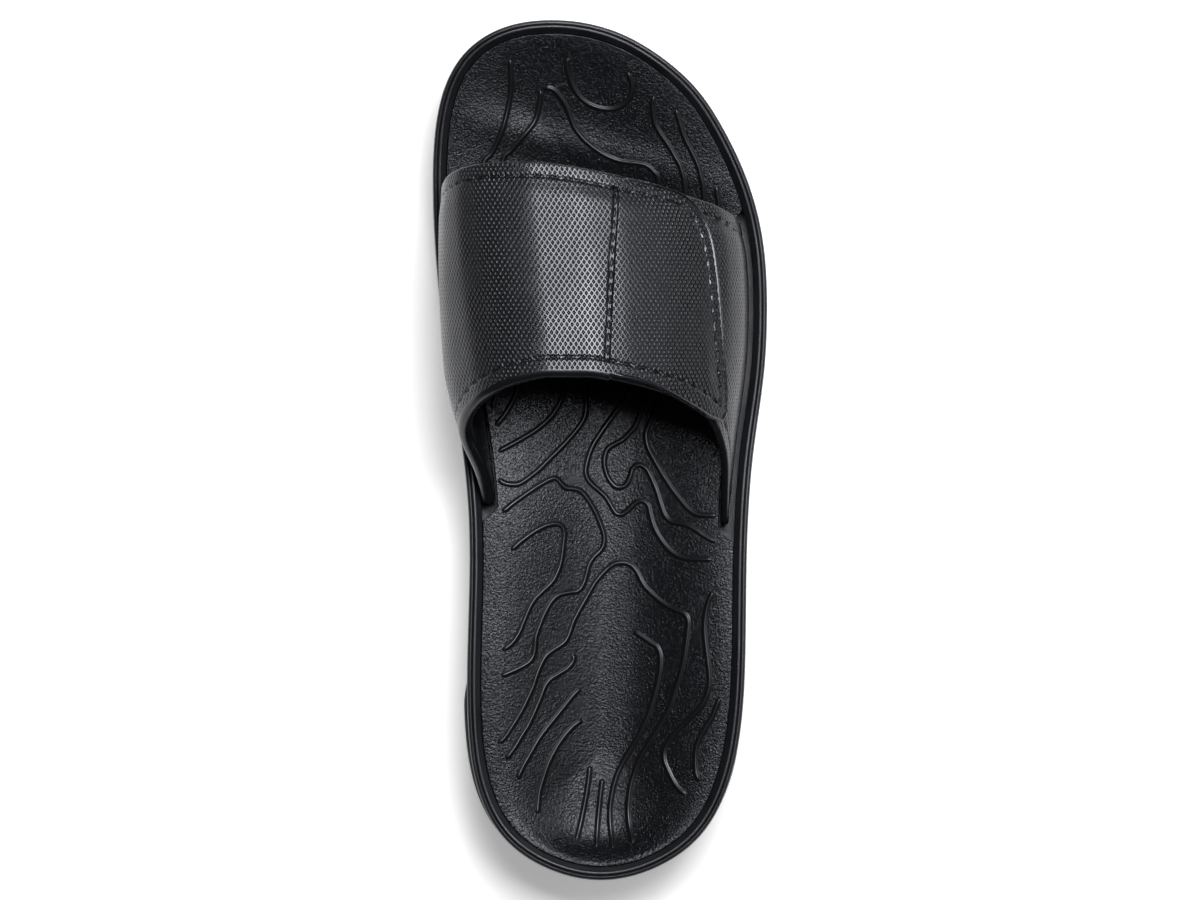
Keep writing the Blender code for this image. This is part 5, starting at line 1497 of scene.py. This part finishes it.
def make_stitches(material):
    """The band's rows along its edges and root, and the chain of loops on the seam."""
    thread = Shell("strap_stitches")
    seam = seam_place(np.array((0.05, 0.95)))
    sew_across(thread, *edge_row(0.03, seam[0], False))
    sew_across(thread, *edge_row(0.07, seam[1], True))
    under = BAND_WALL - UNDER_WALL
    sew_across(thread, *on_band(UNDER_STITCH), depth=under)
    rows = np.linspace(ROOT_STITCH[1], ROOT_STITCH[2], 60)
    sew(thread, np.full(60, ROOT_STITCH[0]), rows, rows / MM, depth=under)
    shares = np.linspace(0, 1, 200)
    place = seam_place(shares)
    front, rear = edge_y(place, False), edge_y(place, True)
    y = front + (rear - front) * shares
    kept = (front - y > FRONT_STITCH * MM) & (y - rear > REAR_STITCH * MM)
    sew(thread, place[kept], y[kept], y[kept] / MM, CHAIN_PITCH, CHAIN_DEPTH, CHAIN_RADIUS,
        fill=1.0, squash=0.5)
    return thread.build(material, "strap", sharp=75)


def make_flap_stitches(material):
    """The flap's rows: along its front and rear, and round its free end."""
    thread = Shell("flap_stitches")
    front, end, rear = [on_band(pixels) for pixels in FLAP_STITCH]
    seam = seam_place(np.array((0.05, 0.95)))
    sew_across(thread, *edge_row(seam[0], front[0, -1], False))
    sew(thread, *end, end[1] / MM)
    sew_across(thread, *edge_row(seam[1], rear[0, 0], True))
    return thread.build(material, "strap_flap", sharp=75)


# Stage, lights and camera


LIGHTS = (
    # name, place, side, power
    ("key", (0.20, 0.54, 1.5), 0.7, 31),
    ("side", (1.3, 0.5, 1.5), 1.3, 4),
)
WORLD_STRENGTH = 0.04
FLOOR_RADIUS = 0.5
FLOOR_GLOW = 0.36
BACKDROP_RADIUS = 8.0
BACKDROP_GLOW = 0.97


def circle(radius, height, sides):
    turn = np.linspace(0, 2 * math.pi, sides, endpoint=False)
    return [(radius * math.cos(t), radius * math.sin(t), height) for t in turn]


def stage_piece(name, points, faces, material):
    mesh = bpy.data.meshes.new(name)
    mesh.from_pydata(points, [], faces)
    mesh.materials.append(material)
    made = bpy.data.objects.new(name, mesh)
    bpy.context.scene.collection.objects.link(made)
    return made


def make_stage():
    """A pale sheet under the sandal, and round it a plain pale floor and backdrop that only the
    camera sees, so that they add no light."""
    pale = Wiring("floor", (0.94, 0.94, 0.94), 0.6, Specular_IOR_Level=0.2,
                  Emission_Color=(1, 1, 1, 1), Emission_Strength=FLOOR_GLOW)
    pale.shade(pale.noise(0.8, 2), 0.968, 1.0)
    plain = Wiring("backdrop", (0.0, 0.0, 0.0), 1.0, Emission_Color=(1, 1, 1, 1),
                   Emission_Strength=BACKDROP_GLOW).material
    whole = [tuple(range(128))]
    stage_piece("floor", circle(FLOOR_RADIUS, 0, 128), whole, pale.material)
    around = [(k, (k + 1) % 64, 64 + (k + 1) % 64, 64 + k) for k in range(64)]
    wall = circle(BACKDROP_RADIUS, -1, 64) + circle(BACKDROP_RADIUS, 8, 64)
    for piece in (
        stage_piece("far_floor", circle(BACKDROP_RADIUS, -0.5 * MM, 128), whole, plain),
        stage_piece("backdrop", wall, around, plain),
    ):
        piece.visible_diffuse = piece.visible_glossy = piece.visible_shadow = False


def make_lights():
    """Square soft lights aimed at the sandal, and a faint even sky."""
    for name, place, side, power in LIGHTS:
        data = bpy.data.lights.new(name, "AREA")
        data.shape = "RECTANGLE"
        data.size = data.size_y = side
        data.energy = power
        lamp = bpy.data.objects.new(name, data)
        bpy.context.scene.collection.objects.link(lamp)
        lamp.location = place
        lamp.rotation_mode = "QUATERNION"
        lamp.rotation_quaternion = (-Vector(place)).to_track_quat("-Z", "Y")
    world = bpy.data.worlds.new("studio")
    bpy.context.scene.world = world
    world.use_nodes = True
    shade = world.node_tree.nodes["Background"]
    shade.inputs["Color"].default_value = (1, 1, 1, 1)
    shade.inputs["Strength"].default_value = WORLD_STRENGTH


def make_camera():
    """Straight down, toe up, at the photograph's scale over the sandal's middle."""
    data = bpy.data.cameras.new("camera")
    data.lens = data.sensor_width * CAMERA_DISTANCE / (PHOTO_WIDTH * PIXEL)
    data.clip_end = 20.0
    cam = bpy.data.objects.new("camera", data)
    bpy.context.scene.collection.objects.link(cam)
    cam.location = (0, 0, CAMERA_DISTANCE + HEEL_HEIGHT)
    bpy.context.scene.camera = cam


def main():
    bpy.context.scene.view_settings.view_transform = "Standard"
    make_camera()
    make_lights()
    make_stage()
    make_midsole(foam_material())
    make_footbed(footbed_material())
    make_contours(bead_material())
    make_tread(tread_material())
    make_strap(weave_material("strap_weave"))
    make_flap(weave_material("flap_weave"))
    threads = thread_material()
    make_stitches(threads)
    make_flap_stitches(threads)


main()
